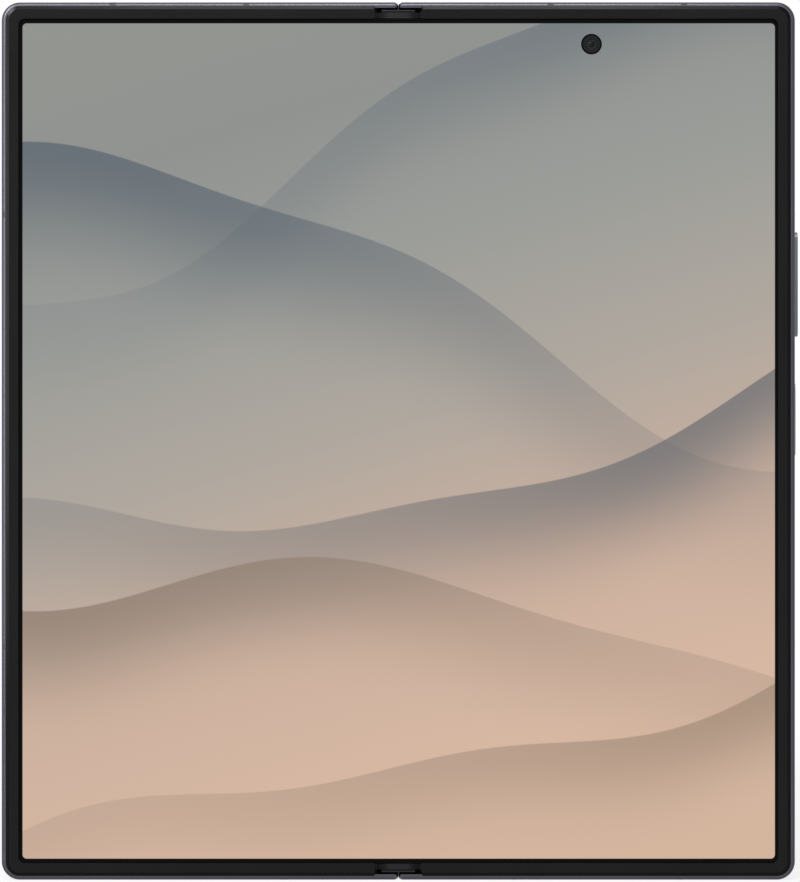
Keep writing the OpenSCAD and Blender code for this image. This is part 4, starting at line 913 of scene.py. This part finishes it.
# Contacts: gold plate over nickel, with draw lines along them. Twelve lie on each face of the
# port's tongue, 0.5 mm apart.
gold = grained("gold_plated_contact", "C9A45C", "D4B06A", 0.22, 1.0, grain_mm=0.3,
               stretch=(1, 1, 6))
PAD_HALF = 0.14
PAD_Y = (-76.3, -73.0)
PAD_Z = (PORT_Z - 0.36, PORT_Z + 0.33)
PAD_T = 0.03
pads = [block(x - PAD_HALF, x + PAD_HALF, *PAD_Y, z, z + PAD_T, 0.03)
        for x in PORT_X + 0.5 * (np.arange(12) - 5.5) for z in PAD_Z]
piece = mesh_piece("port_contacts", join(pads), gold, "right_half")

# Behind each row of speaker slots, a strip of mesh: where it starts and ends across the phone,
# and its lower face.
guard = mesh_finish()
for name, x0, x1, y, body in (("bottom", 41.9, 49.3, -77.95, "right_half"),
                              ("top", -48.6, -41.2, 77.95, "left_half")):
    shell = block(x0, x1, y, y + 0.12, 1.0, 3.1, 0.04)
    piece = mesh_piece("speaker_guard_" + name, shell, guard, body)


# ---------- floor, light and camera ----------

def white_rays(tree):
    """1 where a ray comes straight from the camera, off gloss or through glass, else 0."""
    path = [add(tree, "LightPath", out=name) for name in
            ("Is Camera Ray", "Is Glossy Ray", "Is Transmission Ray")]
    pair = add(tree, "Math", (path[0], path[1]), operation="MAXIMUM")
    return add(tree, "Math", (pair, path[2]), operation="MAXIMUM")


world = bpy.data.worlds.new("studio")
bpy.context.scene.world = world
world.use_nodes = True
tree = world.node_tree
tree.nodes.clear()
# The room: a dim cool fill, seen as plain white.
fill = add(tree, "Background", {"Color": (0.97, 0.98, 1.0, 1), "Strength": 0.32})
white = add(tree, "Background", {"Color": (1, 1, 1, 1), "Strength": 1.0})
seen = add(tree, "MixShader", (white_rays(tree), fill, white))
tree.links.new(seen, tree.nodes.new("ShaderNodeOutputWorld").inputs[0])

# Floor: a pale matt disc just under the phone. It is partly plain white near the phone, where
# the shadow stays, and wholly so further out.
FLOOR_R = 3.0
FLOOR_SIDES = 96
FLOOR_DROP = 0.00002
floor_finish = bpy.data.materials.new("pale_matt_floor")
floor_finish.use_nodes = True
tree = floor_finish.node_tree
tree.nodes.clear()
spot = add(tree, "TexCoord", out="Object")
away = add(tree, "VectorMath", (spot,), out="Value", operation="LENGTH")
far = add(tree, "MapRange", (away, 0.10, 0.55, 0.8, 1.0), interpolation_type="SMOOTHSTEP")
share = add(tree, "Math", (far, white_rays(tree)), operation="MULTIPLY")
mottle = add(tree, "TexNoise", {"Vector": spot, "Scale": 6.0, "Detail": 2.0})
tone = add(tree, "Mix", {0: mottle, 6: linear("EFEFF0"), 7: linear("F3F3F3")}, out=2,
           data_type="RGBA")
chalk = add(tree, "BsdfDiffuse", {"Color": tone})
plain = add(tree, "Emission", {"Color": (1, 1, 1, 1), "Strength": 1.0})
both = add(tree, "MixShader", (share, chalk, plain))
tree.links.new(both, tree.nodes.new("ShaderNodeOutputMaterial").inputs[0])
disc = np.concatenate([[(0, 0)], arc((0, 0), FLOOR_R, 0, 360, FLOOR_SIDES + 1)[:-1]])
mesh = bpy.data.meshes.new("floor")
mesh.from_pydata(np.c_[disc, np.full(len(disc), -FLOOR_DROP)].tolist(), [],
                 [[0, k, k % FLOOR_SIDES + 1] for k in range(1, FLOOR_SIDES + 1)])
mesh.materials.append(floor_finish)
floor = bpy.data.objects.new("floor", mesh)
bpy.context.scene.collection.objects.link(floor)


def lamp(name, place, size, radiance):
    """A square soft light aimed at the phone's middle, with the power that gives it the wanted
    radiance: radiance times pi times its area."""
    light = bpy.data.lights.new(name, "AREA")
    light.size = size
    light.energy = radiance * math.pi * size * size
    obj = bpy.data.objects.new(name, light)
    bpy.context.scene.collection.objects.link(obj)
    obj.location = place
    aim = Vector((0, 0, HALF_H * MM)) - Vector(place)
    obj.rotation_euler = aim.to_track_quat("-Z", "Y").to_euler()


# Two lamps light the bevels along the top and left edges, and a third the corner between them.
# Two soft boxes light the sides from above and from the left, and the last lamp lights the back.
# Places and sizes are in metres.
lamp("lamp_top", (0.0, -0.77, 0.56), 0.26, 11.0)
lamp("lamp_left", (-0.48, -0.77, 0.14), 0.26, 6.5)
lamp("lamp_corner", (-0.43, -0.77, 0.51), 0.22, 36.0)
lamp("soft_box_top", (0.0, -0.40, 1.05), 0.7, 1.6)
lamp("soft_box_left", (-0.95, -0.40, 0.16), 0.7, 0.9)
lamp("lamp_back", (-0.3, 0.75, 0.6), 0.45, 3.0)

# Camera: level with the phone's middle and 0.8 m in front. The volume key stands proud on the
# right, so the outline's middle, and the camera with it, lie a little to the right.
CAMERA_X = 0.303
CAMERA_AWAY = 797.7
camera = bpy.data.objects.new("camera", bpy.data.cameras.new("camera"))
bpy.context.scene.collection.objects.link(camera)
camera.data.lens = 180
camera.data.sensor_width = 36
camera.location = (CAMERA_X * MM, -CAMERA_AWAY * MM, HALF_H * MM)
camera.rotation_euler = (math.radians(90), 0, 0)
bpy.context.scene.camera = camera
bpy.context.scene.view_settings.view_transform = "Standard"
